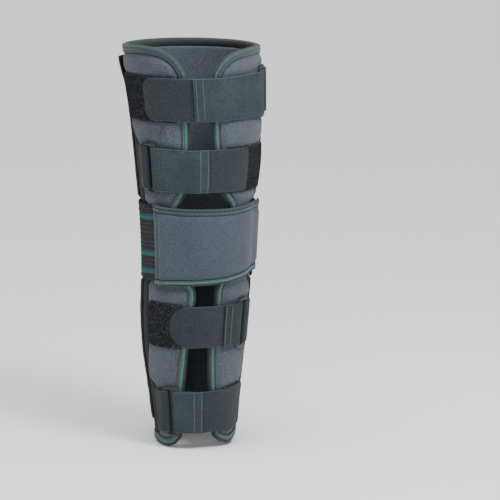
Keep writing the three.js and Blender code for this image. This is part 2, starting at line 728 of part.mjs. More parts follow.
function hookTab(strap) {
  const scale = degreeLength(heightOf(strap));
  const free = strap.tabEnd * scale;
  const end = strap.lap * scale + LAP;
  const lift = ON_PATCH + HOOK_TAB / 2;
  const stations = [];
  for (const share of [0, 0.06, 0.2, 0.45]) {
    const along = free + share * strap.corner;
    stations.push({ along, lift, half: roundedHalf(share * strap.corner, strap.corner) });
  }
  const rest = free + strap.corner;
  const steps = Math.ceil((end - rest) / STRAP_STEP);
  for (let n = 0; n <= steps; n++) {
    stations.push({ along: mix(rest, end, n / steps), lift, half: STRAP_WIDTH / 2 });
  }
  return ribbon(strap, stations, HOOK_TAB);
}

function anchorTab(strap) {
  const scale = degreeLength(heightOf(strap));
  const bar = strap.ring * scale + BAR_OFFSET;
  const end = Math.max(strap.anchor * scale, bar + 2 * RING_BAR);
  const half = STRAP_WIDTH / 2;
  const flat = ON_FOAM + WEBBING / 2;
  const over = flat + WEBBING + LAYER_GAP;
  const overBar = bar + RING_BAR / 2 + 1;
  const stations = [
    { along: end, lift: over, half },
    { along: mix(end, overBar, 0.5), lift: mix(over, RING_LIFT + FOLD, 0.4), half },
    { along: overBar, lift: RING_LIFT + FOLD, half },
    ...barFold(bar, -1),
    { along: mix(bar, end, 0.4), lift: flat, half },
    { along: mix(bar, end, 0.7), lift: flat, half },
    { along: end, lift: flat, half },
  ];
  return ribbon(strap, stations, WEBBING);
}

function loopPatch(strap) {
  const scale = degreeLength(heightOf(strap));
  const from = strap.patchFrom * scale;
  const to = strap.patchTo * scale;
  const steps = Math.ceil((from - to) / STRAP_STEP);
  const stations = [];
  for (let n = 0; n <= steps; n++) {
    const half = n === 0 ? PATCH_HEIGHT / 2 - 4 : PATCH_HEIGHT / 2;
    stations.push({ along: mix(to, from, n / steps), lift: ON_FOAM + PATCH / 2, half });
  }
  return ribbon(strap, stations, PATCH);
}

// A ring: a rounded oblong loop of flat bar, bent to the wrap.
function ring(strap) {
  const middle = heightOf(strap);
  const scale = degreeLength(middle);
  const section = [
    { across: 0, out: 0 },
    { across: 0.2, out: 0.5 },
    { across: 0.8, out: 0.5 },
    { across: 1, out: 0 },
    { across: 0.8, out: -0.5 },
    { across: 0.2, out: -0.5 },
  ];
  const outline = (bar) => {
    const width = RING_WIDTH / 2 - bar;
    const length = RING_LENGTH / 2 - bar;
    const radius = Math.max(RING_CORNER - bar, 1.5);
    const points = [];
    const corners = [[1, 1, 0], [-1, 1, 90], [-1, -1, 180], [1, -1, 270]];
    for (const [x, z, start] of corners) {
      for (const turn of [0, 30, 60, 90]) {
        const angle = toRadians(start + turn);
        points.push([
          x * (width - radius) + radius * Math.cos(angle),
          z * (length - radius) + radius * Math.sin(angle),
        ]);
      }
      if (x !== z) for (const share of [1 / 3, 2 / 3]) {
        points.push([x * width, mix(z, -z, share) * (length - radius)]);
      }
    }
    return points;
  };
  const loops = outline(0).map((_, n) =>
    section.map(({ across, out }) => {
      const [x, z] = outline(across * RING_BAR)[n];
      const angle = strap.side * (strap.ring + x / scale);
      const height = middle + strapRise(strap, strap.side * strap.ring) + z;
      return pointAt(angle, height, RING_LIFT + out * RING_THICKNESS);
    }),
  );
  return loft(loops, true);
}

const PAD_FROM = PAD_EDGES[0].angle;
const PAD_TO = PAD_EDGES[PAD_EDGES.length - 1].angle;
const padEdge = (column, angle) => lookUp(PAD_EDGES, "angle", column, angle) * PAD_HEIGHT;

// The pad lies on the foam in front, and on the elastic at its two ends.
function padBase(angle) {
  const onElastic = UNDER_ELASTIC + elasticLift(angle) + ELASTIC + RIB + LAYER_GAP;
  const fromEnd = Math.min(angle - PAD_FROM, PAD_TO - angle) - ELASTIC_TUCK;
  return mix(onElastic, ON_FOAM, smooth(THREE.MathUtils.clamp((fromEnd - 2) / 14, 0, 1)));
}

// The pad thins towards its sewn ends.
function padThickness(angle) {
  const fromEnd = Math.min(angle - PAD_FROM, PAD_TO - angle);
  return mix(PAD_END, PAD, smooth(THREE.MathUtils.clamp(fromEnd / PAD_TAPER, 0, 1)));
}

function kneePad() {
  const near = [];
  const far = [];
  for (let j = 0; j <= PAD_ROWS; j++) {
    const share = j / PAD_ROWS;
    const rise = Math.min(1, 4 * share * (1 - share) * 1.4);
    near.push([]);
    far.push([]);
    for (let i = 0; i <= PAD_COLUMNS; i++) {
      const angle = mix(PAD_FROM, PAD_TO, i / PAD_COLUMNS);
      const inside = PAD_BINDING + SEAM_GAP;
      const height = mix(padEdge("bottom", angle) + inside, padEdge("top", angle) - inside, share);
      const thickness = padThickness(angle);
      const crown = (PAD_CROWN * rise * (thickness - PAD_END)) / (PAD - PAD_END);
      near[j].push(pointAt(angle, height, padBase(angle)));
      far[j].push(pointAt(angle, height, padBase(angle) + thickness - PAD_EDGE_DIP + crown));
    }
  }
  return wall(near, far);
}

function kneePadBinding(column) {
  const inwards = column === "top" ? -PAD_BINDING : PAD_BINDING;
  const outer = [];
  const inner = [];
  for (let i = 0; i <= PAD_COLUMNS; i++) {
    const angle = mix(PAD_FROM, PAD_TO, i / PAD_COLUMNS);
    outer.push({ angle, height: padEdge(column, angle) });
    inner.push({ angle, height: padEdge(column, angle) + inwards });
  }
  return tape(outer, inner, padBase, padThickness);
}

// The elastic starts under the pad's outer end and goes round the back to its inner end.
function kneeElastic() {
  const from = PAD_TO - ELASTIC_TUCK;
  const to = 360 + PAD_FROM + ELASTIC_TUCK;
  const columns = Math.ceil((to - from) / ELASTIC_STEP);
  const near = [];
  const far = [];
  for (const { at, lift } of ELASTIC_RIBS) {
    const height = ELASTIC_FROM + at * ELASTIC_HEIGHT;
    const angles = Array.from({ length: columns + 1 }, (_, i) => mix(from, to, i / columns));
    const base = (angle) => UNDER_ELASTIC + elasticLift(angle);
    near.push(angles.map((angle) => pointAt(angle, height, base(angle))));
    far.push(angles.map((angle) => pointAt(angle, height, base(angle) + ELASTIC + lift * RIB)));
  }
  return wall(near, far);
}

// The elastic rides over the two stay sleeves.
function elasticLift(angle) {
  const over = SIDE_FOAM + SLEEVE_THICKNESS + 2 * LAYER_GAP - UNDER_ELASTIC;
  const half = SLEEVE_WIDTH / 2 / degreeLength(0);
  const toSleeve = [SLEEVE_ANGLE, 360 - SLEEVE_ANGLE].map((middle) => Math.abs(angle - middle));
  const away = Math.min(...toSleeve) - half;
  return Math.max(over, 0) * (1 - smooth(THREE.MathUtils.clamp((away - 3) / 10, 0, 1)));
}

function material(color, roughness, metalness = 0) {
  return new THREE.MeshStandardMaterial({ color, roughness, metalness });
}

const MATERIALS = {
  foam: material(COLORS.foam, 0.9),
  side: material(COLORS.side, 0.95),
  binding: material(COLORS.binding, 0.85),
  webbing: material(COLORS.webbing, 0.85),
  hook: material(COLORS.hook, 0.9),
  loop: material(COLORS.loop, 1),
  ring: material(COLORS.ring, 0.35),
  pad: material(COLORS.pad, 0.9),
  elastic: material(COLORS.elastic, 0.9),
};

const group = new THREE.Group();

function add(name, geometry, finish) {
  const mesh = new THREE.Mesh(geometry, MATERIALS[finish]);
  mesh.name = name;
  group.add(mesh);
}

for (const name of ["outer", "inner"]) {
  add(`wing_${name}`, wing(name), "foam");
  add(`wing_binding_${name}`, wingBinding(name), "binding");
  add(`side_panel_${name}`, sidePanel(name), "side");
  add(`stay_sleeve_${name}`, staySleeve(name), "side");
}
add("back_panel", backPanel(), "foam");
add("back_binding_top", backBinding("Top"), "binding");
add("back_binding_bottom", backBinding("Bottom"), "binding");
STRAPS.forEach((strap, n) => {
  add(`loop_patch_${n + 1}`, loopPatch(strap), "loop");
  add(`anchor_tab_${n + 1}`, anchorTab(strap), "webbing");
  add(`ring_${n + 1}`, ring(strap), "ring");
  add(`webbing_strap_${n + 1}`, webbingStrap(strap), "webbing");
  add(`hook_tab_${n + 1}`, hookTab(strap), "hook");
});
add("knee_elastic", kneeElastic(), "elastic");
add("knee_pad", kneePad(), "pad");
add("knee_pad_binding_top", kneePadBinding("top"), "binding");
add("knee_pad_binding_bottom", kneePadBinding("bottom"), "binding");

export default group;
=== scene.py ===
import math

import bpy
import numpy as np
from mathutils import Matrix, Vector


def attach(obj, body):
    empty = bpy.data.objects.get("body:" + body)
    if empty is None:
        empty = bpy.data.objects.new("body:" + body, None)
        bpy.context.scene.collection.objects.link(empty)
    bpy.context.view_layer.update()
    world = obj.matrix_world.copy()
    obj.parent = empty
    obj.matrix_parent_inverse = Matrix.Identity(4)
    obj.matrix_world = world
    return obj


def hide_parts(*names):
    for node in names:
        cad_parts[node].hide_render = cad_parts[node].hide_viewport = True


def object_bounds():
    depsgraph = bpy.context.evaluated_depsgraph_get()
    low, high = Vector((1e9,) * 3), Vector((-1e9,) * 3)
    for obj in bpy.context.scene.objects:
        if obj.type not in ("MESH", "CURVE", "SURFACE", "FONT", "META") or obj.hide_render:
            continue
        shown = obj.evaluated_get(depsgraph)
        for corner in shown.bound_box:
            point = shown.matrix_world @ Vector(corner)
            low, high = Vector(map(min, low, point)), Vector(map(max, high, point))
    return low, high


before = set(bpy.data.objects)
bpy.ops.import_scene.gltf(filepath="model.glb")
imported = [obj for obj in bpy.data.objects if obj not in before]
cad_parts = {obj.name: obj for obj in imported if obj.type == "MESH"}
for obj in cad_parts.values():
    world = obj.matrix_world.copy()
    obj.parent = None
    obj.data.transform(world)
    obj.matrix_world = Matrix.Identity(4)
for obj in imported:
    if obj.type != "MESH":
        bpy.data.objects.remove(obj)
cadBox = [list(corner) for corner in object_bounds()]
print("frame loaded:", len(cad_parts), "nodes")

# Sizes below are millimetres and degrees; a mesh gets metres when it is made. A place on the wrap is
# its angle round the hollow (0 in front, positive to the inner side), its height, and its lift, the
# distance outwards from the hollow's wall.

wrap = {
    "height": 485,
    "kneeHeight": 245,
    "hollowWidth": 152,
    "foam": 6,
    "sideFoam": 5.4,
    "edgeDip": 1,
    "bindingWidth": 10,
    "tapeTurnsAt": 200,  # above this height the flaps' edge tape shows its other face
    "seamGap": 0.08,
    "layerGap": 0.6,
    "elasticGap": 0.9,
    "backSeam": 116,
}

# Shares of the hollow's width, from the lowest edge to the highest
sections = {
    "at": (0, 0.05, 0.113, 0.175, 0.237, 0.32, 0.412, 0.505, 0.608, 0.701, 0.794, 0.897, 1),
    "width": (0.283, 0.29, 0.307, 0.333, 0.357, 0.375, 0.384, 0.391, 0.41, 0.443, 0.461, 0.481, 0.5),
    "depth": (0.3, 0.308, 0.331, 0.362, 0.388, 0.408, 0.411, 0.412, 0.431, 0.455, 0.474, 0.494, 0.513),
    "side": (-0.036, -0.037, -0.038, -0.039, -0.039, -0.034, -0.02, -0.017, -0.015, -0.008, -0.018, -0.04,
             -0.059),
    "back": (0.02, 0.026, 0.036, 0.049, 0.056, 0.046, 0.02, -0.008, -0.01, -0.006, 0, 0, 0),
}

# Angles of the flaps' front edges and rear seams, by share of the height
frontEdges = {
    "at": (0.03, 0.082, 0.142, 0.196, 0.254, 0.309, 0.369, 0.408, 0.436, 0.464, 0.505, 0.546, 0.578,
           0.606, 0.643, 0.701, 0.773, 0.856, 0.93, 0.955, 0.974),
    "outer": (-24.3, -20.8, -18.8, -15, -11.5, -8.4, -5.6, -6.9, -18, -28, -33, -32.5, -30.5,
              -24.8, -16.9, -13.5, -11.2, -10.2, -10.6, -14, -19),
    "inner": (21, 16, 13.4, 11.6, 11, 13, 15.4, 16.1, 22, 30, 33.5, 33, 31,
              29.8, 19.2, 11.5, 9.2, 10, 13, 18, 25),
}

rearSeams = {
    "at": (0, 0.02, 0.04, 0.148, 0.17, 0.254, 0.38, 0.6, 0.745, 0.79, 0.85, 1),
    "outer": (-76, -68, -64, -64, -79, -69, -68.5, -71, -71, -84, -90, -90),
    "inner": (82, 80, 79, 79, 79, 75, 73, 72, 73, 82, 86, 86),
}

# The flaps' rounded ends as shares of the height, from the rear seam across to the front edge
lobes = {
    "across": (0, 0.25, 0.5, 0.74, 0.89, 1),
    "outerTop": (0.993, 0.997, 1, 0.998, 0.989, 0.974),
    "innerTop": (0.99, 0.993, 0.993, 0.989, 0.983, 0.974),
    "outerBottom": (0.005, 0, 0, 0.006, 0.016, 0.03),
    "innerBottom": (0.02, 0.01, 0.004, 0.01, 0.018, 0.03),
}

# From the topmost down. at is a share of the height, side is 1 where the ring is on the inner side, and
# ring, anchor, lap, tabEnd and the patch's ends are angles towards the ring. corner and stitch, the rows
# on the lap, are millimetres, and the rises are the strap's climb at each side.
# Where finish or anchorFinish names the darker webbing, it is the same webbing with painted shade, for
# parts that lie in shadow
straps = [
    {"at": 0.8735, "side": 1, "ring": 71, "anchor": 87, "lap": -5.4, "tabEnd": -50.5,
     "patchFrom": -22, "patchTo": -88, "corner": 14, "riseOuter": -1, "riseInner": 4,
     "stitch": (3.6, 11.2), "finish": "webbing", "anchorFinish": "webbing"},
    {"at": 0.6995, "side": -1, "ring": 50.5, "anchor": 67, "lap": -5, "tabEnd": -44,
     "patchFrom": -22, "patchTo": -76, "corner": 3, "riseOuter": 2, "riseInner": 0,
     "stitch": (1.8, 9.8), "finish": "webbing", "anchorFinish": "webbingPaintedShade"},
    {"at": 0.3105, "side": 1, "ring": 51, "anchor": 68, "lap": 25.5, "tabEnd": -31.8,
     "patchFrom": -20, "patchTo": -63.5, "corner": 24, "riseOuter": 0, "riseInner": 1.4,
     "stitch": (1.8, 9.8), "finish": "webbingPaintedShade", "anchorFinish": "webbingPaintedShade"},
    {"at": 0.0935, "side": -1, "ring": 34.5, "anchor": 60, "lap": -5, "tabEnd": -68,
     "patchFrom": -30, "patchTo": -64, "corner": 5, "riseOuter": -1, "riseInner": 5,
     "stitch": (1.8, 9.8), "finish": "webbing", "anchorFinish": "webbingPaintedShade"},
]

# Sizes that all the straps share
strapSizes = {
    "width": 50.8,
    "webbing": 1.6,
    "hookTab": 1.6,
    "patch": 1.6,
    "patchHeight": 55,
    "patchEndInside": 2,  # how much less high a patch is at its far end
    "lap": 10,
    "foldBack": 20,
    "lapSpare": 2,
    "foldSpare": 4,
    "barSpare": 1,
    "stationStep": 9,
    "patchStep": 5,
    "riseAngle": 70,  # angle at which a rise is measured
    "sway": 0.35,
    "swaySize": 45,
    "dent": 0.12,
    "dentSize": 18,
    "dentAcross": 25,
    "ringLength": 63,
    "ringWidth": 20,
    "ringBar": 5,
    "ringThickness": 3,
    "ringCorner": 8,
    "ringClearance": 0.4,
    "foldInside": 0.6,  # how far a fold's middle lies inside the bar's edge
}

# The ribbed elastic behind the knee
elasticSizes = {
    "height": 93,
    "from": -43.5,
    "thickness": 1.8,
    "rib": 1.0,
    "tuck": 8,
    "sleeveGap": 3,  # degrees beside a sleeve at which it begins to come down
    "sleeveFade": 10,
    "tilt": 5,  # how far its ribs climb towards the pad's outer end
    "tiltFrom": 278,
    "tiltAngle": 30,
    "waver": 0.35,
    "waverSize": 60,
    "waverStretch": 0.1,
    "endEase": 8,
    "edgeThin": 0.5,  # share of its thickness at its edges
    "edgeRound": 1.2,
    "rows": 190,
    "columns": 130,
    "stripe": 6.2,
    "stripes": (75.2, 31.3, 9.6),  # stripe middles from the lower edge
    "grooves": (0, 6.5, 12.7, 17.9, 23, 28.2, 34.4, 39.8, 45.2, 50.6, 56, 61.4, 66.8, 72.1, 78.3, 85.6,
                93),
}


def heightAt(share):
    return np.asarray(share) * wrap["height"] - wrap["kneeHeight"]


def shareAt(height):
    return (np.asarray(height) + wrap["kneeHeight"]) / wrap["height"]


def mix(a, b, share):
    return a + (b - a) * share


def smooth(share):
    share = np.clip(share, 0, 1)
    return share * share * (3 - 2 * share)


# Reads a table's column at places on its key, on a smooth curve through the rows
def lookUp(table, column, place, key="at"):
    x = np.array(table[key], float)
    y = np.array(table[column], float)
    last = len(x) - 1
    after = np.minimum(np.arange(len(x)) + 1, last)
    before = np.maximum(np.arange(len(x)) - 1, 0)
    slope = (y[after] - y[before]) / (x[after] - x[before])
    place = np.asarray(place, float)
    k = np.clip(np.searchsorted(x, place) - 1, 0, last - 1)
    span = x[k + 1] - x[k]
    t = np.clip((place - x[k]) / span, 0, 1)
    leave = t * (1 - t) ** 2 * span * slope[k]
    arrive = t * t * (1 - t) * span * slope[k + 1]
    return y[k] + (y[k + 1] - y[k]) * t * t * (3 - 2 * t) + leave - arrive


def hollowAt(height):
    share = shareAt(height)
    return {column: lookUp(sections, column, share) * wrap["hollowWidth"]
            for column in ("width", "depth", "side", "back")}


def onWrap(angle, height, lift):
    angle, height, lift = np.broadcast_arrays(np.asarray(angle, float), height, lift)
    hollow = hollowAt(height)
    turn = np.radians(angle)
    return np.stack([
        hollow["side"] + (hollow["width"] + lift) * np.sin(turn),
        hollow["back"] - (hollow["depth"] + lift) * np.cos(turn),
        height,
    ], axis=-1)


def outwards(angle):
    turn = np.radians(np.asarray(angle, float))
    return np.stack([np.sin(turn), -np.cos(turn), np.zeros_like(turn)], axis=-1)


# Millimetres along the wrap for one degree
def degreeLength(height):
    hollow = hollowAt(height)
    return np.radians((hollow["width"] + hollow["depth"]) / 2 + wrap["foam"])


# Half the gap of a seam, in degrees
def seamHalf(height):
    return wrap["seamGap"] / 2 / degreeLength(height)


sideSign = {"outer": -1, "inner": 1}
kneeScale = float(degreeLength(0.0))  # millimetres for one degree beside the knee
for strap in straps:
    strap["middle"] = float(heightAt(strap["at"]))
    strap["scale"] = float(degreeLength(strap["middle"]))


# Soft waves of about the given size, from -1 to 1
def ripple(x, y, size, seed, waves=7):
    rng = np.random.default_rng(seed)
    total = np.zeros(np.broadcast(x, y).shape)
    for _ in range(waves):
        turn = rng.uniform(0, 2 * math.pi)
        pace = rng.uniform(0.7, 1.5) * 2 * math.pi / size
        phase = rng.uniform(0, 2 * math.pi)
        total += np.sin(pace * (x * math.cos(turn) + y * math.sin(turn)) + phase)
    return total / waves * 1.5


# Smooth curve through the rows of a line, with the given number of steps between two rows
def refine(line, steps):
    line = np.asarray(line, float)
    padded = np.vstack([2 * line[0] - line[1], line, 2 * line[-1] - line[-2]])
    t = (np.arange(steps) / steps)[:, None]
    pieces = []
    for k in range(len(line) - 1):
        a, b, c, d = padded[k:k + 4]
        pieces.append(b + t * (c - a) / 2 + t * t * (a - 2.5 * b + 2 * c - d / 2)
                      + t ** 3 * (1.5 * b - a / 2 - 1.5 * c + d / 2))
    pieces.append(line[-1:])
    return np.vstack(pieces)


# Rows of a line at even distances
def evenly(line, step):
    line = np.asarray(line, float)
    along = np.concatenate([[0], np.cumsum(np.linalg.norm(np.diff(line[:, :3], axis=0), axis=1))])
    count = max(2, int(round(along[-1] / step)) + 1)
    places = np.linspace(0, along[-1], count)
    return np.stack([np.interp(places, along, line[:, k]) for k in range(line.shape[1])], axis=1)


brightness = 0.5  # share of a colour that a material has, because the lights add to it


# A colour as it looks in the picture, made darker by what the lights add
def tint(red, green, blue):
    values = np.array([red, green, blue]) / 255
    linear = np.where(values <= 0.04045, values / 12.92, ((values + 0.055) / 1.055) ** 2.4)
    return (*(linear * brightness).tolist(), 1.0)


# A socket that Python's maths works on: an expression adds its Math nodes
class Link:
    def __init__(self, tree, socket):
        self.tree = tree
        self.socket = socket

    def math(self, operation, *values):
        return add(self.tree, "ShaderNodeMath", {"operation": operation}, dict(enumerate(values)))

    def __add__(self, other):
        return self.math("ADD", self, other)

    def __sub__(self, other):
        return self.math("SUBTRACT", self, other)

    def __rsub__(self, other):
        return self.math("SUBTRACT", other, self)

    def __mul__(self, other):
        return self.math("MULTIPLY", self, other)

    def __truediv__(self, other):
        return self.math("DIVIDE", self, other)

    def __rtruediv__(self, other):
        return self.math("DIVIDE", other, self)

    def __mod__(self, other):
        return self.math("FLOORED_MODULO", self, other)

    def __gt__(self, other):
        return self.math("GREATER_THAN", self, other)

    def sine(self):
        return self.math("SINE", self)

    def size(self):
        return self.math("ABSOLUTE", self)

    def clamped(self):
        return self.math("MINIMUM", self.math("MAXIMUM", self, 0), 1)

    # 0 up to a start, and from there up to 1 at a pace
    def above(self, start, pace):
        return ((self - start) * pace).clamped()

    # From between -1 and 1 to between 0 and 1
    def asShare(self):
        return self * 0.5 + 0.5

    __radd__ = __add__
    __rmul__ = __mul__


# Adds a node: its type, its settings, and the values or links of its inputs
def add(tree, kind, settings=None, values=None, output=0):
    node = tree.nodes.new(kind)
    for key, value in (settings or {}).items():
        if key == "stops":
            ramp = node.color_ramp
            while len(ramp.elements) < len(value):
                ramp.elements.new(1)
            for element, (place, color) in zip(ramp.elements, value):
                element.position = place
                element.color = color
        else:
            setattr(node, key, value)
    for key, value in (values or {}).items():
        if isinstance(value, Link):
            tree.links.new(value.socket, node.inputs[key])
        else:
            node.inputs[key].default_value = value
    return Link(tree, node.outputs[output])


class Finish:
    def __init__(self, name, roughness, sheen=0.0):
        self.material = bpy.data.materials.new(name)
        self.material.use_nodes = True
        self.tree = self.material.node_tree
        self.surface = self.tree.nodes["Principled BSDF"]
        for socket, value in (("Roughness", roughness), ("Sheen Weight", sheen),
                              ("Sheen Roughness", 0.5), ("Specular IOR Level", 0.35)):
            self.surface.inputs[socket].default_value = value
        self.place = self.add("ShaderNodeTexCoord", output="Object")

    def add(self, kind, settings=None, values=None, output=0):
        return add(self.tree, kind, settings, values, output)

    # Along and across the piece, in millimetres
    def cloth(self):
        uv = self.add("ShaderNodeUVMap", {"uv_map": "cloth"})
        parts = self.add("ShaderNodeSeparateXYZ", values={"Vector": uv})
        node = parts.socket.node
        return Link(self.tree, node.outputs["X"]), Link(self.tree, node.outputs["Y"])

    def height(self):
        return self.add("ShaderNodeSeparateXYZ", values={"Vector": self.place}, output="Z")

    # Noise with features of about that many millimetres
    def noise(self, size, detail=2.0, roughness=0.5):
        return self.add("ShaderNodeTexNoise", None, {
            "Vector": self.place, "Scale": 1000 / size, "Detail": detail, "Roughness": roughness})

    def mixed(self, factor, a, b):
        return self.add("ShaderNodeMix", {"data_type": "RGBA"}, {0: factor, 6: a, 7: b}, output=2)

    def join(self, value, name):
        self.tree.links.new(value.socket, self.surface.inputs[name])

    # Sets the colour and a relief of that many millimetres
    def done(self, color, relief, depth):
        self.join(color, "Base Color")
        bump = self.add("ShaderNodeBump", None, {
            "Height": relief, "Distance": depth / 1000, "Strength": 1.0})
        self.join(bump, "Normal")
        return self.material


# Sizes of the weaves, in millimetres
weaves = {
    "knitAlong": 1.5,
    "knitAcross": 1.2,
    "warp": 1.8,
    "weft": 1.3,
    "warpShift": 0.9,
    "darkSelvedge": 1.9,
    "paleSelvedge": 1.0,
    "twill": 2.5,
    "twillSlope": 0.85,
    "twillSelvedge": 0.9,
    "thread": 1.0,
    "threadSlope": 0.6,
    "pile": 2.2,
    "tapeRib": 1.4,
    "elasticCord": 1.3,
}


def wave(value, period):
    return (value * (2 * math.pi / period)).sine()


# Brushed knit laminated to foam
def foamCloth(name, base, light, dark, grain, sheen=0.12):
    finish = Finish(name, 0.88, sheen)
    along, across = finish.cloth()
    knit = wave(along, weaves["knitAlong"]) * wave(across, weaves["knitAcross"])
    speck = finish.noise(1.7, detail=2, roughness=0.75)
    cloudy = finish.noise(34)
    color = finish.mixed(((cloudy - 0.5) * 1.1 + 0.5).clamped(), base, light)
    color = finish.mixed(speck.above(0.42, 4.5) * grain, color, dark)
    color = finish.mixed(knit.asShare() * 0.18, color, light)
    return finish.done(color, knit * 0.4 + speck * 1.2, depth=0.35)


# 1 along a strap's edges and 0 further in than the reach
def nearEdge(across, reach):
    return across.size().above(strapSizes["width"] / 2 - reach, 3)


# Flat woven webbing: fine ribs, crossed by the weft, with a paler selvedge along each edge
def wovenTape(name, base, light, dark):
    finish = Finish(name, 0.66, sheen=0.02)
    along, across = finish.cloth()
    row = across.math("FLOOR", across / weaves["weft"])
    shift = (row % 2) * weaves["warpShift"]
    weft = wave(across, weaves["weft"])
    weave = wave(along + shift, weaves["warp"]) * weft
    speck = finish.noise(2.0, detail=3, roughness=0.7)
    cloudy = finish.noise(30)
    color = finish.mixed(cloudy.above(0.35, 1.8), base, light)
    color = finish.mixed(weave.asShare() * 0.4, color, dark)
    color = finish.mixed(speck.above(0.44, 5) * 0.75, color, dark)
    color = finish.mixed(nearEdge(across, weaves["darkSelvedge"]) * 0.55, color, dark)
    color = finish.mixed(nearEdge(across, weaves["paleSelvedge"]) * 0.8, color, light)
    return finish.done(color, weave * 0.5 + weft * 0.25 + speck * 0.5, depth=0.4)


# Hook tape's cloth face: a diagonal twill
def twillFace(name, base, light, dark):
    finish = Finish(name, 0.74, sheen=0.06)
    along, across = finish.cloth()
    diagonal = wave(along - across * weaves["twillSlope"], weaves["twill"])
    thread = wave(along + across * weaves["threadSlope"], weaves["thread"])
    speck = finish.noise(1.9, detail=3, roughness=0.7)
    broken = finish.noise(2.6).above(0.3, 2.6)
    cloudy = finish.noise(28)
    color = finish.mixed(((diagonal * 0.5 + 0.35) * broken).clamped() * 0.8, base, light)
    color = finish.mixed(speck.above(0.46, 5) * 0.8, color, dark)
    color = finish.mixed(cloudy.above(0.4, 2) * 0.3, color, dark)
    color = finish.mixed(nearEdge(across, weaves["twillSelvedge"]) * 0.6, color, light)
    return finish.done(color, diagonal * 0.6 + thread * 0.15 + speck * 0.5, depth=0.4)


# Loop pile: dark, with paler tips
def loopPile(name, base, light, contrast):
    finish = Finish(name, 0.95)
    tuft = finish.add("ShaderNodeTexVoronoi", {"feature": "F1"}, {
        "Vector": finish.place, "Scale": 1000 / weaves["pile"]})
    speck = finish.noise(2.4, detail=3, roughness=0.7)
    pale = speck.above(0.5, contrast) * (1 - tuft.clamped() * 0.5)
    return finish.done(finish.mixed(pale, base, light), speck - tuft, depth=0.8)


# Bands of colour across a tape, each from a distance in millimetres from the stitched side
def banded(finish, across, bands):
    color = bands[0][1]
    for start, band in bands[1:]:
        color = finish.mixed(((across - start) * 3 + 0.5).clamped(), color, band)
    return color


# Edge tape; above the topmost strap it is turned, so other bands show there
def edgeTape(name, bands, dark, upperBands=None):
    finish = Finish(name, 0.68, sheen=0.12)
    along, across = finish.cloth()
    color = banded(finish, across, bands)
    if upperBands:
        isUpper = finish.height() > wrap["tapeTurnsAt"] / 1000
        color = finish.mixed(isUpper, color, banded(finish, across, upperBands))
    rib = wave(along, weaves["tapeRib"])
    speck = finish.noise(1.5, detail=2, roughness=0.6)
    color = finish.mixed((rib.asShare() * 0.25 + (speck - 0.42) * 1.5).clamped(), color, dark)
    return finish.done(color, rib * 0.5 + speck, depth=0.25)


# Knee elastic: dark ribs with pale threads between them and level coloured stripes
def elasticWeb(name, base, light, thread, stripe):
    finish = Finish(name, 0.85)
    along, across = finish.cloth()
    half = elasticSizes["stripe"] / 2
    onStripe = sum(across.above(middle - half, 4) * ((middle + half - across) * 4).clamped()
                   for middle in elasticSizes["stripes"])
    inGroove = sum((1 - ((across - groove) * 2.2).size()).clamped() for groove in elasticSizes["grooves"])
    cord = wave(along, weaves["elasticCord"])
    speck = finish.noise(1.6, detail=2, roughness=0.6)
    broken = finish.noise(2.2).above(0.38, 6)
    color = finish.mixed(speck.above(0.42, 3) * 0.6, base, light)
    color = finish.mixed((inGroove * broken).clamped() * 0.8, color, thread)
    dyed = finish.mixed((speck - 0.3).clamped() * 0.6, stripe, base)
    color = finish.mixed(onStripe.clamped(), color, dyed)
    color = finish.mixed(cord.asShare() * 0.15, color, base)
    return finish.done(color, cord * 0.6 + speck * 0.5, depth=0.3)


def mouldedPlastic(name, base, light, roughness=0.42):
    finish = Finish(name, roughness)
    cloudy = finish.noise(9, detail=3)
    scuff = finish.noise(2.4, detail=4, roughness=0.7)
    finish.join(((cloudy - 0.5) * 0.25 + roughness).clamped(), "Roughness")
    return finish.done(finish.mixed(scuff.above(0.55, 4) * 0.5, base, light), scuff, depth=0.06)


def sewingThread(name, base, light):
    finish = Finish(name, 0.55)
    twist = finish.noise(0.7)
    return finish.done(finish.mixed(twist, base, light), twist, depth=0.1)


# Painted shade: the dark lines along the tapes' edges, where a tape meets the cloth it is sewn to and where
# its roll turns away from the light
tapeEdgeShade = tint(36, 44, 48)
slate = tint(78, 89, 96)
teal = tint(100, 158, 148)
tapeShade = tint(44, 58, 60)
tealBands = [(0, tapeEdgeShade), (0.9, tint(64, 96, 94)), (3.7, teal), (7.3, slate)]
blueBands = [(0, tapeEdgeShade), (2.3, tint(96, 138, 142)), (6.2, slate), (8.4, tapeEdgeShade)]
# The turned tape: its darkest band, where it meets the foam, and the narrow dark line between the slate
# roll and the teal are painted shade
rollBands = [(0, tint(28, 34, 37)), (1.7, tint(84, 95, 104)), (6.2, tint(44, 54, 58)),
             (6.8, tint(84, 142, 134)), (10.2, tint(66, 76, 82))]
# Pad top tape: the lighter middle of its teal band is a painted highlight along the roll, and the
# near-black line before the slate roll is painted shade
padTopBands = [(0, tapeEdgeShade), (0.9, tint(66, 94, 96)), (2.6, tint(84, 128, 124)),
               (4.4, tint(62, 88, 90)), (5.2, tint(26, 32, 35)), (6.1, tint(82, 92, 100))]
# Pad bottom tape: the teal is the tape's own; its paler middle is a painted highlight along the roll, the
# dark band at the stitched side stands for its black stitches, and the dark band at the outer edge is
# painted shadow
padBottomBands = [(0, tint(30, 40, 42)), (1.6, tint(72, 112, 108)), (3, tint(100, 152, 142)),
                  (5.6, tint(70, 112, 108)), (7, tint(34, 44, 46))]

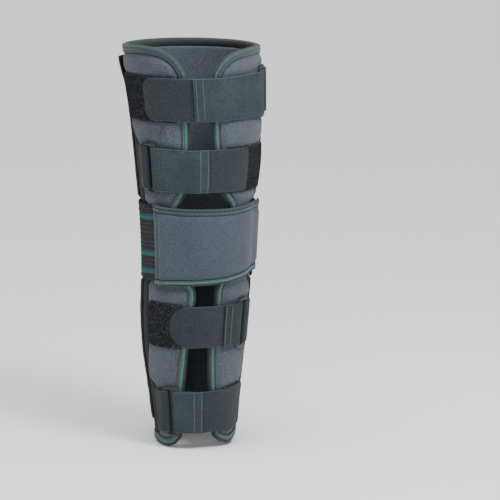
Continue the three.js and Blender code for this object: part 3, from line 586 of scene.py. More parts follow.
finishes = {
    "foam": foamCloth("foamCloth", tint(94, 104, 115), tint(116, 127, 139), tint(60, 69, 79), 0.75),
    "side": foamCloth("sideCloth", tint(40, 43, 45), tint(56, 59, 61), tint(22, 24, 26), 0.8, sheen=0.0),
    "pad": foamCloth("padCloth", tint(86, 97, 112), tint(102, 114, 130), tint(56, 66, 78), 0.7),
    "webbing": wovenTape("webbing", tint(58, 77, 84), tint(86, 108, 115), tint(32, 43, 48)),
    # The same webbing with painted shade: a darker copy for the strap and anchor tabs that lie in shadow
    "webbingPaintedShade": wovenTape("webbingPaintedShade", tint(44, 57, 63), tint(68, 85, 91), tint(25, 34, 38)),
    "twill": twillFace("hookTabTwill", tint(48, 58, 66), tint(88, 101, 110), tint(25, 32, 37)),
    "loop": loopPile("loopPile", tint(36, 39, 45), tint(120, 124, 132), 5),
    "tape_outer": edgeTape("edgeTapeOuter", tealBands + [(9.5, tapeEdgeShade)], tapeShade, rollBands),
    "tape_inner": edgeTape("edgeTapeInner", blueBands, tapeShade, rollBands),
    "tape_back": edgeTape("edgeTapeBack", tealBands, tapeShade),
    "pad_tape_top": edgeTape("padTapeTop", padTopBands, tapeShade),
    "pad_tape_bottom": edgeTape("padTapeBottom", padBottomBands, tint(48, 70, 70)),
    "elastic": elasticWeb("elasticWeb", tint(38, 39, 44), tint(56, 57, 62), tint(150, 148, 148),
                          tint(38, 126, 118)),
    "plastic": mouldedPlastic("ringPlastic", tint(54, 59, 63), tint(92, 98, 103)),
    "thread": sewingThread("seamThread", tint(128, 144, 144), tint(166, 182, 180)),
    "paleThread": sewingThread("paleThread", tint(122, 137, 140), tint(152, 168, 170)),
    "darkThread": sewingThread("darkThread", tint(26, 33, 36), tint(48, 58, 61)),
    "tuft": loopPile("loopTuft", tint(32, 35, 41), tint(118, 123, 131), 6),
}
print("finishes made:", len(finishes))


def addObject(name, data):
    piece = bpy.data.objects.new(name, data)
    bpy.context.collection.objects.link(piece)
    return piece


# A mesh from loops of points, closed round each loop and capped at both ends, or closed on itself.
# uv has one column more than points, because its last column meets the first.
def loftPiece(name, loops, uv, finish, closed=False, strip=False):
    rows, count = loops.shape[:2]
    faces = []
    corners = []
    spans = rows if closed else rows - 1
    for j in range(spans):
        n = (j + 1) % rows
        for k in range(count):
            m = (k + 1) % count
            faces.append((j * count + k, j * count + m, n * count + m, n * count + k))
            corners.append(((j, k), (j, k + 1), (j + 1, k + 1), (j + 1, k)))
    if not closed and strip:
        for j, turned in ((0, True), (rows - 1, False)):
            for k in range(count // 2 - 1):
                ids = (k, k + 1, count - 2 - k, count - 1 - k)
                ids = ids[::-1] if turned else ids
                faces.append(tuple(j * count + i for i in ids))
                corners.append(tuple((j, i) for i in ids))
    elif not closed:
        faces.append(tuple(range(count))[::-1])
        corners.append(tuple((0, i) for i in range(count))[::-1])
        faces.append(tuple((rows - 1) * count + i for i in range(count)))
        corners.append(tuple((rows - 1, i) for i in range(count)))
    points = loops.reshape(-1, 3)
    volume = 0.0
    for face in faces:
        a = points[face[0]]
        for p, q in zip(face[1:-1], face[2:]):
            volume += float(np.dot(a, np.cross(points[p], points[q])))
    if volume < 0:
        faces = [face[::-1] for face in faces]
        corners = [corner[::-1] for corner in corners]
    mesh = bpy.data.meshes.new(name)
    mesh.from_pydata((points / 1000).tolist(), [], faces)
    layer = mesh.uv_layers.new(name="cloth")
    flat = np.array([uv[j, k] for corner in corners for j, k in corner])
    layer.data.foreach_set("uv", flat.ravel())
    mesh.shade_smooth()
    mesh.materials.append(finishes[finish])
    return addObject(name, mesh)


# Loops that run out along the far face and back along the near one
def shell(far, near):
    return np.concatenate([far, near[:, ::-1]], axis=1)


def shellUv(uv):
    return np.concatenate([uv, uv[:, ::-1], uv[:, :1]], axis=1)


# A panel over the wrap, from the lifts of its near and far faces. Its cloth runs across by height.
def clothPanel(name, angle, height, near, far, finish, across=None):
    points = shell(onWrap(angle, height, far), onWrap(angle, height, near))
    uv = np.stack([angle * kneeScale, height if across is None else across], axis=-1)
    return loftPiece(name, points, shellUv(uv), finish, strip=True)


def worn(piece, node):
    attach(piece, "root")
    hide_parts(node)
    return piece


# The wrap's foam panels, and how the straps and the elastic press them
foamSizes = {
    "puff": 2.2,  # how far the foam swells between the straps
    "ramp": 8,  # height in which it does
    "puffEdge": 9,  # and the distance from a panel's edge
    "edgeRound": 5,
    "press": 1.2,  # pressed foam beyond a strap's edge
    "kneePress": 4,  # and beyond the elastic's
    "underElastic": 2.4,  # how far the elastic presses the panels
    "pressFrom": 52,  # degrees from the front at which it begins to
    "pressFull": 14,  # degrees further at which it does in full
    "pressBeyond": 6,
    "pressFade": 5,
    "ripple": 0.35,
    "rippleSize": 26,
    "rippleScale": 1.1,  # millimetres for one degree, roughly, in ripples and puckers
    "pucker": 0.3,
    "puckerSize": 7,
    "puckerStretch": 0.25,
    "puckerReach": 9,
    "strapFade": 3,
    "lobeRows": 6,
    "columns": 14,
    "rowStep": 9,
    "rowLeast": 3,
    "rowSteps": 3,
    "columnSteps": 3,
    "pastStrap": 2,  # how far above the topmost strap a flap begins to round
    "creaseSteps": 6,
    "creaseEnd": 0.06,  # share of a crease that fades no further at each end
}

# Where rows of a panel's mesh have to lie: off the straps', the elastic's and the pad's edges
rowMarks = {"press": 2, "kneePress": 15, "ramp": 9, "padGap": 2}

# The pad in front of the knee
padSizes = {
    "height": 93,
    "thickness": 4.6,
    "endThickness": 2.2,
    "taper": 12,
    "crown": 1.4,
    "binding": 8,
    "hem": 6,
    "hemDepth": 0.9,
    "hemWidth": 0.7,
    "hemRound": 7,
    "crownRound": 8,
    "edgeDip": 0.5,
    "edgeRound": 3,
    "ripple": 0.3,
    "rippleSize": 34,
    "overElastic": 0.7,
    "middleLift": 10.0,  # lift at which distances on it are measured
    "settle": (2, 14),  # degrees past the elastic's end to where it settles on the foam, and for it
    "columns": 110,
    "rows": 44,
    "tapeRows": 130,
}

padEdges = {
    "angle": (-50, -25, 0, 30, 60, 88),
    "top": (0.56, 0.535, 0.53, 0.527, 0.546, 0.55),
    "bottom": (-0.495, -0.478, -0.465, -0.44, -0.384, -0.35),
}
padStart, padEnd = padEdges["angle"][0], padEdges["angle"][-1]


def padEdge(edge, angle):
    return lookUp(padEdges, edge, angle, key="angle") * padSizes["height"]


# Creases in the foam: the places, as angle and height, that each passes, and its depth and width
creases = [
    {"side": "outer", "path": [(-32, 151), (-36, 144), (-39.5, 136), (-41, 126)],
     "depth": 2.6, "width": 1.7},
    {"side": "outer", "path": [(-50, 148), (-47, 138), (-45, 130)], "depth": 0.6, "width": 4},
    {"side": "inner", "path": [(21, -128), (24, -140), (27, -152)], "depth": 1.3, "width": 1.3},
    {"side": "inner", "path": [(27, -136), (31, -150), (33, -166)], "depth": 1.3, "width": 1.5},
    {"side": "inner", "path": [(38, -130), (41, -146), (46, -160)], "depth": 0.5, "width": 2.4},
    {"side": "outer", "path": [(-60, 64), (-48, 60), (-38, 63)], "depth": 0.5, "width": 3},
    {"side": "outer", "path": [(-30, -128), (-33, -146), (-30, -160)], "depth": 0.5, "width": 3},
]


def strapRise(strap, angle):
    rise = np.where(np.asarray(angle) < 0, strap["riseOuter"], strap["riseInner"])
    return rise * (np.asarray(angle) / strapSizes["riseAngle"]) ** 2


# The lowest and highest place of each band where the straps and the elastic press the foam
def pressedBands(angle, press, kneePress):
    bands = []
    for strap in straps:
        rise = strapRise(strap, angle)
        reach = strapSizes["width"] / 2 + press
        bands.append((strap["middle"] + np.minimum(rise, 0) - reach,
                      strap["middle"] + np.maximum(rise, 0) + reach))
    low, high = elasticSizes["from"], elasticSizes["from"] + elasticSizes["height"]
    bands.append((low - kneePress, high + kneePress))
    return bands


def swell(angle, height):
    share = np.ones(np.broadcast(angle, height).shape)
    for low, high in pressedBands(angle, foamSizes["press"], foamSizes["kneePress"]):
        away = np.maximum(low - height, height - high) / foamSizes["ramp"]
        share = np.minimum(share, np.sqrt(smooth(away)))
    return share


# How far the elastic and the pad's outer end press what lies beneath them
def kneePressed(angle, height=0.0):
    turn = np.mod(angle, 360)
    beside = smooth((np.minimum(turn, 360 - turn) - foamSizes["pressFrom"]) / foamSizes["pressFull"])
    low = elasticSizes["from"] - foamSizes["pressBeyond"]
    high = elasticSizes["from"] + elasticSizes["height"] + foamSizes["pressBeyond"]
    fade = foamSizes["pressFade"]
    level = smooth((height - low) / fade) * smooth((high - height) / fade)
    return beside * level * foamSizes["underElastic"]


def panelHeights(lowest, highest):
    marks = [lowest, highest]
    for low, high in pressedBands(0.0, rowMarks["press"], rowMarks["kneePress"]):
        marks += [float(m) for m in (low, high, low - rowMarks["ramp"], high + rowMarks["ramp"],
                                     (low + high) / 2)]
    marks.append(float(padEdge("bottom", 0)) - rowMarks["padGap"])
    marks.append(float(padEdge("top", 0)) + rowMarks["padGap"])
    inside = sorted(m for m in marks if lowest <= m <= highest)
    heights = [inside[0]]
    for mark in inside[1:]:
        last = heights[-1]
        if mark - last < foamSizes["rowLeast"] and mark != highest:
            continue
        steps = math.ceil((mark - last) / foamSizes["rowStep"])
        heights += [mix(last, mark, n / steps) for n in range(1, steps + 1)]
    return heights


# Between these heights the rows of a flap's mesh stay, and beyond them they follow its rounded ends
fixedFrom = straps[3]["middle"] - strapSizes["width"] / 4
fixedTo = straps[0]["middle"] + strapSizes["width"] / 2 + foamSizes["pastStrap"]


def seamAt(name, height):
    return lookUp(rearSeams, name, shareAt(height))


def lobeAt(name, edge, across):
    return heightAt(lookUp(lobes, name + edge, across, key="across"))


def wingOutline(name):
    heights = panelHeights(fixedFrom, fixedTo)
    steps = foamSizes["lobeRows"]

    def sideHeights(lowest, highest):
        lower = [mix(lowest, fixedFrom, n / steps) for n in range(steps)]
        upper = [mix(fixedTo, highest, n / steps) for n in range(1, steps + 1)]
        return np.array(lower + heights + upper)

    front = sideHeights(lobeAt(name, "Bottom", 1), lobeAt(name, "Top", 1))
    front = np.stack([lookUp(frontEdges, name, shareAt(front)), front], axis=1)
    rear = sideHeights(lobeAt(name, "Bottom", 0), lobeAt(name, "Top", 0))
    rear = np.stack([seamAt(name, rear), rear], axis=1)
    across = np.linspace(0, 1, foamSizes["columns"] + 1)
    bottom = np.stack([mix(rear[0, 0], front[0, 0], across), lobeAt(name, "Bottom", across)], axis=1)
    top = np.stack([mix(rear[-1, 0], front[-1, 0], across), lobeAt(name, "Top", across)], axis=1)
    return np.vstack([bottom, front[1:-1], top[::-1]]), len(front)


# Moves a line of places sideways by a distance, to the left of its direction
def inset(line, distance):
    after = np.vstack([line[1:], line[-1:]])
    before = np.vstack([line[:1], line[:-1]])
    scale = degreeLength(line[:, 1])
    along = (after[:, 0] - before[:, 0]) * scale
    up = after[:, 1] - before[:, 1]
    length = np.hypot(along, up)
    return np.stack([line[:, 0] - up / length * distance / scale,
                     line[:, 1] + along / length * distance], axis=1)


def wingGrid(name):
    path, rows = wingOutline(name)
    sign = sideSign[name]
    margin = wrap["bindingWidth"] + wrap["seamGap"]
    moved = inset(path, -sign * margin)
    columns = foamSizes["columns"]
    steps = foamSizes["lobeRows"]
    bottom = moved[:columns + 1]
    front = moved[columns:columns + rows]
    top = moved[columns + rows - 1:][::-1]
    lowest = path[0, 1] + margin
    highest = path[-1, 1] - margin
    rear = front[:, 1].copy()
    for n in range(steps):
        rear[n] = mix(lowest, fixedFrom, n / steps)
        rear[-1 - n] = mix(highest, fixedTo, n / steps)
    front = refine(front, foamSizes["rowSteps"])
    rear = refine(rear[:, None], foamSizes["rowSteps"])[:, 0]
    rear = np.stack([seamAt(name, rear) - sign * seamHalf(rear), rear], axis=1)
    bottom = refine(np.vstack([[seamAt(name, lowest), lowest], bottom[1:]]), foamSizes["columnSteps"])
    top = refine(np.vstack([[seamAt(name, highest), highest], top[1:]]), foamSizes["columnSteps"])
    bottom[0], top[0] = rear[0], rear[-1]
    u = np.linspace(0, 1, len(bottom))[None, :, None]
    index = np.arange(len(front))
    lobeRows = steps * foamSizes["rowSteps"]
    low = np.clip(1 - index / lobeRows, 0, 1)[:, None, None]
    high = np.clip(1 - (len(front) - 1 - index) / lobeRows, 0, 1)[:, None, None]
    straight = mix(rear[:, None], front[:, None], u)
    lowBow = bottom[None] - mix(bottom[:1, None], bottom[-1:, None], u)
    highBow = top[None] - mix(top[:1, None], top[-1:, None], u)
    return straight + low * lowBow + high * highBow


def creaseDepth(name, angle, height):
    total = np.zeros(angle.shape)
    scale = degreeLength(height)
    for crease in creases:
        if crease["side"] != name:
            continue
        path = refine(crease["path"], foamSizes["creaseSteps"])
        nearest = np.full(angle.shape, np.inf)
        share = np.zeros(angle.shape)
        for n, (a, z) in enumerate(path):
            away = np.hypot((angle - a) * scale, height - z)
            closer = away < nearest
            nearest = np.where(closer, away, nearest)
            share = np.where(closer, n / (len(path) - 1), share)
        share = np.clip(share, foamSizes["creaseEnd"], 1 - foamSizes["creaseEnd"])
        fade = np.sqrt(np.clip(np.sin(np.pi * share), 0, 1))
        total += crease["depth"] * fade * np.exp(-(nearest / crease["width"]) ** 2)
    return total


# How far each place of a grid lies from the grid's edges
def edgeAway(points):
    across = np.linalg.norm(np.diff(points, axis=1), axis=-1)
    fromRear = np.concatenate([np.zeros((len(points), 1)), np.cumsum(across, axis=1)], axis=1)
    up = np.linalg.norm(np.diff(points, axis=0), axis=-1)
    fromLow = np.concatenate([np.zeros((1, points.shape[1])), np.cumsum(up, axis=0)], axis=0)
    return np.minimum.reduce([fromRear, fromRear[:, -1:] - fromRear, fromLow, fromLow[-1:] - fromLow])


def foamLift(name, angle, height):
    away = edgeAway(onWrap(angle, height, wrap["foam"]))
    edge = smooth(away / foamSizes["edgeRound"])
    puff = foamSizes["puff"] * swell(angle, height) * smooth(away / foamSizes["puffEdge"])
    along = angle * foamSizes["rippleScale"]
    soft = foamSizes["ripple"] * ripple(along, height, foamSizes["rippleSize"], seed=3)
    bands = pressedBands(angle, 0, foamSizes["kneePress"])
    toStrap = np.minimum.reduce([np.maximum(low - height, height - high) for low, high in bands])
    near = np.exp(-np.maximum(toStrap, 0) / foamSizes["puckerReach"])
    pucker = foamSizes["pucker"] * near * ripple(
        along, height * foamSizes["puckerStretch"], foamSizes["puckerSize"], seed=5)
    under = np.clip(toStrap / foamSizes["strapFade"], 0, 1)
    lift = wrap["foam"] - wrap["edgeDip"] * (1 - edge) + puff - kneePressed(angle, height)
    return lift + under * edge * (soft + pucker - creaseDepth(name, angle, height))


def frontWing(name):
    grid = wingGrid(name)
    angle, height = grid[..., 0], grid[..., 1]
    return clothPanel(f"wing_{name}_cloth", angle, height, 0.0, foamLift(name, angle, height), "foam")


sideSizes = {
    "columns": 13,
    "edgeDip": 0.9,
    "edgeRound": 4,
    "ripple": 0.3,
    "rippleSize": 30,
    "fillGap": 1,
    "fillReach": 3,
}


def sidePanel(name):
    sign = sideSign[name]
    heights = wingGrid(name)[:, 0, 1]
    share = np.linspace(0, 1, sideSizes["columns"])
    start = (seamAt(name, heights) + sign * seamHalf(heights))[:, None]
    end = (sign * (wrap["backSeam"] - seamHalf(heights)))[:, None]
    angle = mix(start, end, share[None])
    height = np.repeat(heights[:, None], len(share), axis=1)
    inside = smooth(edgeAway(onWrap(angle, height, wrap["sideFoam"])) / sideSizes["edgeRound"])
    soft = sideSizes["ripple"] * ripple(angle, height, sideSizes["rippleSize"], seed=8) * inside
    lift = wrap["sideFoam"] - sideSizes["edgeDip"] * (1 - inside) + soft
    # beside the sleeve it fills up to the elastic
    toSleeve = (np.abs(np.abs(angle) - sleeveSizes["angle"])
                - sleeveSizes["width"] / 2 / degreeLength(height))
    filled = smooth((toSleeve - sideSizes["fillGap"]) / sideSizes["fillReach"]) * (
        wrap["foam"] - wrap["sideFoam"] + elasticLift(np.abs(angle)))
    lift = lift - kneePressed(angle, height) * (1 - filled / foamSizes["underElastic"])
    return clothPanel(f"side_{name}_cloth", angle, height, 0.0, lift, "side")


# Height of the wrap's lower or upper edge round the back
def wrapEdge(edge, angle):
    share = smooth((np.mod(angle, 360) - 90) / 180)
    return mix(lobeAt("inner", edge, 0), lobeAt("outer", edge, 0), share)


backSizes = {
    "columns": 57,
    "rows": 150,
    "edgeDip": 0.9,
    "edgeRound": 5,
    "puff": 0.6,
    "puffEdge": 9,
    "ripple": 0.5,
    "rippleSize": 38,
    "fold": 0.5,  # folds behind the knee: the elastic hides all but their faint ends
    "foldMiddle": 4,
    "foldReach": 26,
    "foldLength": 3.4,
    "foldWaver": 0.7,
    "foldSize": 40,
    "foldEdge": 12,
    "flatMiddle": 3.5,  # it stays flat beneath the elastic
    "flatHalf": 50,
    "flatFade": 8,
}


def backPanel():
    inside = wrap["bindingWidth"] + wrap["seamGap"]
    far = 360 - wrap["backSeam"]
    angle = np.linspace(wrap["backSeam"], far, backSizes["columns"])[None]
    share = np.linspace(0, 1, backSizes["rows"])[:, None]
    height = mix(wrapEdge("Bottom", angle) + inside, wrapEdge("Top", angle) - inside, share)
    margin = seamHalf(height)
    angle = mix(wrap["backSeam"] + margin, far - margin,
                (angle - wrap["backSeam"]) / (far - wrap["backSeam"]))
    away = edgeAway(onWrap(angle, height, wrap["foam"]))
    fromFlat = np.abs(height - backSizes["flatMiddle"]) - backSizes["flatHalf"]
    outside = smooth(fromFlat / backSizes["flatFade"])
    soft = backSizes["ripple"] * ripple(angle, height, backSizes["rippleSize"], seed=11) + backSizes["puff"]
    lift = wrap["foam"] - backSizes["edgeDip"] * (1 - smooth(away / backSizes["edgeRound"]))
    knee = np.exp(-((height - backSizes["foldMiddle"]) / backSizes["foldReach"]) ** 2)
    waver = backSizes["foldWaver"] * ripple(angle, height, backSizes["foldSize"], seed=2)
    folds = backSizes["fold"] * knee * np.sin(height / backSizes["foldLength"] + waver)
    folds = folds * smooth(away / backSizes["foldEdge"])
    lift = lift + outside * smooth(away / backSizes["puffEdge"]) * soft + folds * outside
    lift = lift - kneePressed(angle, height)
    return clothPanel("back_cloth", angle, height, 0.0, lift, "foam")


# Across a tape from its edge, and lift, as seen in a cut: from the stitched side round the edge
tapeCut = {
    "across": (10, 9.4, 8, 6.8, 6.3, 6.0, 5.2, 4.0, 3.3, 3.0, 2.7, 2.1, 1.3, 0.6, 0.1, 0, 0.3, 1.1, 3, 10),
    "lift": (5.1, 5.75, 6.0, 5.95, 5.75, 6.05, 6.35, 6.35, 6.0, 5.45, 5.9, 6.3, 6.25, 5.6, 4.4, 2.8, 1.2,
             0.2, 0.0, 0.0),
}

# The edge tapes
tapeSizes = {
    "pull": 0.16,  # how far each stitch pulls the tape
    "pullPitch": 6.5,
    "pullFrom": 0.8,  # share of its thickness above which it gives
    "pullPace": 5,
    "unevenness": 2,
    "unevenSize": 40,
    "backRows": 160,
}


# Tape between an outer line and an inner one, both rows of angle and height. base and thickness tell
# its lift and its thickness at an angle.
def tapePiece(name, outer, inner, base, thickness, width, finish):
    across = np.array(tapeCut["across"]) / wrap["bindingWidth"]
    share = np.array(tapeCut["lift"]) / wrap["foam"]
    place = mix(outer[:, None], inner[:, None], across[None, :, None])
    middle = mix(outer, inner, 0.5)
    middle = onWrap(middle[:, 0], middle[:, 1], wrap["foam"])
    along = np.concatenate([[0], np.cumsum(np.linalg.norm(np.diff(middle, axis=0), axis=1))])
    uneven = tapeSizes["unevenness"] * ripple(along, 0 * along, tapeSizes["unevenSize"], seed=4)
    pull = tapeSizes["pull"] * np.sin(along * 2 * math.pi / tapeSizes["pullPitch"] + uneven)
    top = np.clip((share - tapeSizes["pullFrom"]) * tapeSizes["pullPace"], 0, 1)
    angle = outer[:, 0]
    raised = base(angle)[:, None] + share[None] * thickness(angle)[:, None] + pull[:, None] * top[None]
    cut = np.stack([across * width, share * wrap["foam"]], axis=1)
    cut = np.vstack([cut, cut[:1]])
    v = np.concatenate([[0], np.cumsum(np.linalg.norm(np.diff(cut, axis=0), axis=1))])
    uv = np.stack(np.broadcast_arrays(along[:, None], v[None]), axis=-1)
    return loftPiece(name, onWrap(place[..., 0], place[..., 1], raised), uv, finish)


def flatBase(angle):
    return np.zeros(np.shape(angle))


def foamThickness(angle):
    return np.full(np.shape(angle), float(wrap["foam"]))


def wingTapeLines(name):
    outer, _ = wingOutline(name)
    sign = sideSign[name]
    inner = inset(outer, -sign * wrap["bindingWidth"])
    for end, up in ((0, 1), (-1, -1)):
        inner[end, 1] = outer[end, 1] + up * wrap["bindingWidth"]
        for line in (outer, inner):
            height = line[end, 1]
            line[end, 0] = seamAt(name, height) - sign * seamHalf(height)
    return refine(outer, foamSizes["rowSteps"]), refine(inner, foamSizes["rowSteps"])


def backTapeLines(edge):
    inwards = -wrap["bindingWidth"] if edge == "Top" else wrap["bindingWidth"]
    lines = []
    for move in (0, inwards):
        innerEdge = wrapEdge(edge, 90) + move
        outerEdge = wrapEdge(edge, 270) + move
        angle = np.linspace(seamAt("inner", innerEdge) + seamHalf(innerEdge),
                            360 + seamAt("outer", outerEdge) - seamHalf(outerEdge), tapeSizes["backRows"])
        lines.append(np.stack([angle, wrapEdge(edge, angle) + move], axis=1))
    return lines


# The sleeves for the stays, on the side panels
sleeveSizes = {
    "width": 30,
    "thickness": 3,
    "angle": 103,
    "underElastic": 0.5,  # share of its thickness beneath the elastic
    "endThin": 0.55,
    "endRound": 9,
    "ripple": 0.25,
    "rippleSize": 22,
    "rippleAcross": 12,
    "rippleFrom": 1,  # lift above which it ripples
    "rows": 180,
}

# How far each sleeve stands off its panel, in thicknesses, by share of the height
sleeveLift = {
    "at": (0.055, 0.88, 0.925, 0.96),
    "outer": (0, 0, 0.9, 1.8),
    "inner": (0, 0, 0, 0),
}

# A cut across a sleeve, as shares of its half width and its thickness
sleeveCut = {
    "across": (-0.4, -1, -1.0, -0.94, -0.84, -0.6, -0.3, 0, 0.3, 0.6, 0.84, 0.94, 1.0, 1, 0.4),
    "lift": (0, 0, 0.22, 0.36, 0.34, 0.86, 0.98, 1, 0.98, 0.86, 0.34, 0.36, 0.22, 0, 0),
}


def sleeveThickness(height):
    pressed = kneePressed(sleeveSizes["angle"], height) / foamSizes["underElastic"]
    return sleeveSizes["thickness"] * mix(1, sleeveSizes["underElastic"], pressed)


def sleeveBase(name, height):
    base = wrap["sideFoam"] + wrap["layerGap"] - kneePressed(sleeveSizes["angle"], height)
    return base + np.maximum(lookUp(sleeveLift, name, shareAt(height)), 0) * sleeveSizes["thickness"]


# Angle of a place across a sleeve, given as a share of its half width
def sleeveAngle(name, height, across):
    return sideSign[name] * sleeveSizes["angle"] + across * sleeveSizes["width"] / 2 / degreeLength(height)


def staySleeve(name):
    low, high = heightAt(sleeveLift["at"][0]), heightAt(sleeveLift["at"][-1])
    height = np.linspace(low, high, sleeveSizes["rows"])[:, None]
    across = np.array(sleeveCut["across"])[None]
    lift = np.array(sleeveCut["lift"])[None] * sleeveThickness(height)
    fromEnd = np.minimum(height - height[0], height[-1] - height)
    closed = mix(sleeveSizes["endThin"], 1, smooth(fromEnd / sleeveSizes["endRound"]))
    soft = ripple(across * sleeveSizes["rippleAcross"], height, sleeveSizes["rippleSize"], seed=9)
    soft = soft * (lift > sleeveSizes["rippleFrom"])
    raised = sleeveBase(name, height) + lift * closed + sleeveSizes["ripple"] * soft
    points = onWrap(sleeveAngle(name, height, across), height, raised)
    cut = np.append(sleeveCut["across"], sleeveCut["across"][0])
    u, v = np.broadcast_arrays(cut[None] * sleeveSizes["width"] / 2, height)
    return loftPiece(f"sleeve_{name}_cloth", points, np.stack([u, v], axis=-1), "side")


# Lifts of the layers that a strap is made of
onFoam = wrap["foam"] + wrap["layerGap"]
onPatch = onFoam + strapSizes["patch"] + wrap["layerGap"]
onTab = onPatch + strapSizes["hookTab"] + wrap["layerGap"]
foldRadius = strapSizes["ringThickness"] / 2 + strapSizes["ringClearance"] + strapSizes["webbing"] / 2
ringLift = onFoam + strapSizes["webbing"] / 2 + foldRadius
foldTop = ringLift + foldRadius
barOffset = (strapSizes["ringWidth"] - strapSizes["ringBar"]) / 2
halfStrap = strapSizes["width"] / 2

# Places across a strap as shares of its half width, and its thickness there
selvedge = {
    "across": (-1, -0.985, -0.95, -0.88, -0.6, -0.3, 0, 0.3, 0.6, 0.88, 0.95, 0.985, 1),
    "thick": (0.35, 0.8, 1, 0.9, 0.96, 0.96, 0.96, 0.96, 0.96, 0.9, 1, 0.8, 0.35),
}


# Angle and height of a place along and across a strap, both in millimetres
def strapPlace(strap, along, across):
    angle = strap["side"] * along / strap["scale"]
    return angle, strap["middle"] + strapRise(strap, angle) + across


# stations are rows of along, lift and half width: along runs from the front towards the ring
def strapPiece(name, strap, stations, thickness, finish, seed, step):
    path = evenly(refine(stations, 4), step)
    tangent = np.gradient(path[:, :2], axis=0)
    tangent /= np.linalg.norm(tangent, axis=1)[:, None]
    side = np.stack([-tangent[:, 1], tangent[:, 0]], axis=1)
    across = np.array(selvedge["across"])
    thick = np.array(selvedge["thick"]) * thickness / 2
    travelled = np.arange(len(path)) * step
    sway = strapSizes["sway"] * ripple(travelled, 0 * travelled, strapSizes["swaySize"], seed)
    dent = strapSizes["dent"] * ripple(travelled[:, None], across[None] * strapSizes["dentAcross"],
                                       strapSizes["dentSize"], seed + 1)
    faces = []
    for sign in (1, -1):
        along = path[:, None, 0] + sign * side[:, None, 0] * thick[None]
        lift = path[:, None, 1] + sign * side[:, None, 1] * thick[None] + dent
        angle, height = strapPlace(strap, along, across[None] * path[:, None, 2])
        faces.append(onWrap(angle, height + sway[:, None], lift))
    u, v = np.broadcast_arrays(travelled[:, None], across[None] * path[:, None, 2])
    return loftPiece(name, shell(*faces), shellUv(np.stack([u, v], axis=-1)), finish, strip=True)


# A fold round a ring's bar, towards the front or away from it
def barFold(bar, towards):
    centre = bar + towards * (strapSizes["ringBar"] / 2 - strapSizes["foldInside"])
    turns = np.radians([90, 60, 30, 0, -30, -60, -90])
    return [(centre + towards * foldRadius * math.cos(t), ringLift + foldRadius * math.sin(t), halfStrap)
            for t in turns]


def webbingStations(strap):
    start = strap["lap"] * strap["scale"]
    bar = strap["ring"] * strap["scale"] - barOffset
    lowerEnd = bar - strapSizes["foldBack"]
    onLap = onTab + strapSizes["webbing"] / 2
    over = onFoam + 1.5 * strapSizes["webbing"] + wrap["layerGap"]
    lapEnd = start + strapSizes["lap"] + strapSizes["lapSpare"]
    free = lowerEnd - strapSizes["foldSpare"] - lapEnd
    stations = [(place, onLap, halfStrap) for place in (start, mix(start, lapEnd, 0.5), lapEnd)]
    if free > strapSizes["stationStep"] / 2:
        steps = max(1, round(free / strapSizes["stationStep"]))
        for share in (n / steps for n in range(1, steps + 1)):
            down = float(smooth(min(1, share * 1.6)))
            stations.append((lapEnd + free * share, mix(onLap, over, down), halfStrap))
    last = stations[-1]
    overBar = bar - strapSizes["ringBar"] / 2 - strapSizes["barSpare"]
    for share in (0.4, 0.75, 1):
        rise = float(smooth(share))
        stations.append((mix(last[0], overBar, share), mix(last[1], foldTop, rise), halfStrap))
    stations += barFold(bar, 1)
    return stations + [(mix(bar, lowerEnd, share), onFoam + strapSizes["webbing"] / 2, halfStrap)
                       for share in (0.35, 0.7, 1)]


def roundedHalf(distance, corner):
    if distance >= corner:
        return halfStrap
    return halfStrap - corner + math.sqrt(max(corner ** 2 - (corner - distance) ** 2, 0))


def hookTabStations(strap):
    free = strap["tabEnd"] * strap["scale"]
    end = strap["lap"] * strap["scale"] + strapSizes["lap"]
    lift = onPatch + strapSizes["hookTab"] / 2
    corner = strap["corner"]
    stations = [(free + share * corner, lift, roundedHalf(share * corner, corner))
                for share in (0, 0.02, 0.06, 0.12, 0.2, 0.3, 0.45, 0.65, 0.85)]
    rest = free + corner
    steps = math.ceil((end - rest) / strapSizes["stationStep"])
    return stations + [(mix(rest, end, n / steps), lift, halfStrap) for n in range(steps + 1)]


def anchorEnd(strap):
    bar = strap["ring"] * strap["scale"] + barOffset
    return max(strap["anchor"] * strap["scale"], bar + 2 * strapSizes["ringBar"])


def anchorStations(strap):
    bar = strap["ring"] * strap["scale"] + barOffset
    end = anchorEnd(strap)
    flat = onFoam + strapSizes["webbing"] / 2
    over = flat + strapSizes["webbing"] + wrap["layerGap"]
    overBar = bar + strapSizes["ringBar"] / 2 + strapSizes["barSpare"]
    return [
        (end, over, halfStrap), (mix(end, overBar, 0.5), mix(over, foldTop, 0.4), halfStrap),
        (overBar, foldTop, halfStrap), *barFold(bar, -1),
        *((mix(bar, end, share), flat, halfStrap) for share in (0.4, 0.7, 1)),
    ]


def patchStations(strap):
    start, end = strap["patchFrom"] * strap["scale"], strap["patchTo"] * strap["scale"]
    half = strapSizes["patchHeight"] / 2
    steps = math.ceil((start - end) / strapSizes["patchStep"])
    lift = onFoam + strapSizes["patch"] / 2
    return [(mix(end, start, n / steps), lift, half if n else half - strapSizes["patchEndInside"])
            for n in range(steps + 1)]


ringMesh = {"round": 14, "corner": 9, "side": 14, "leastRadius": 1.5}


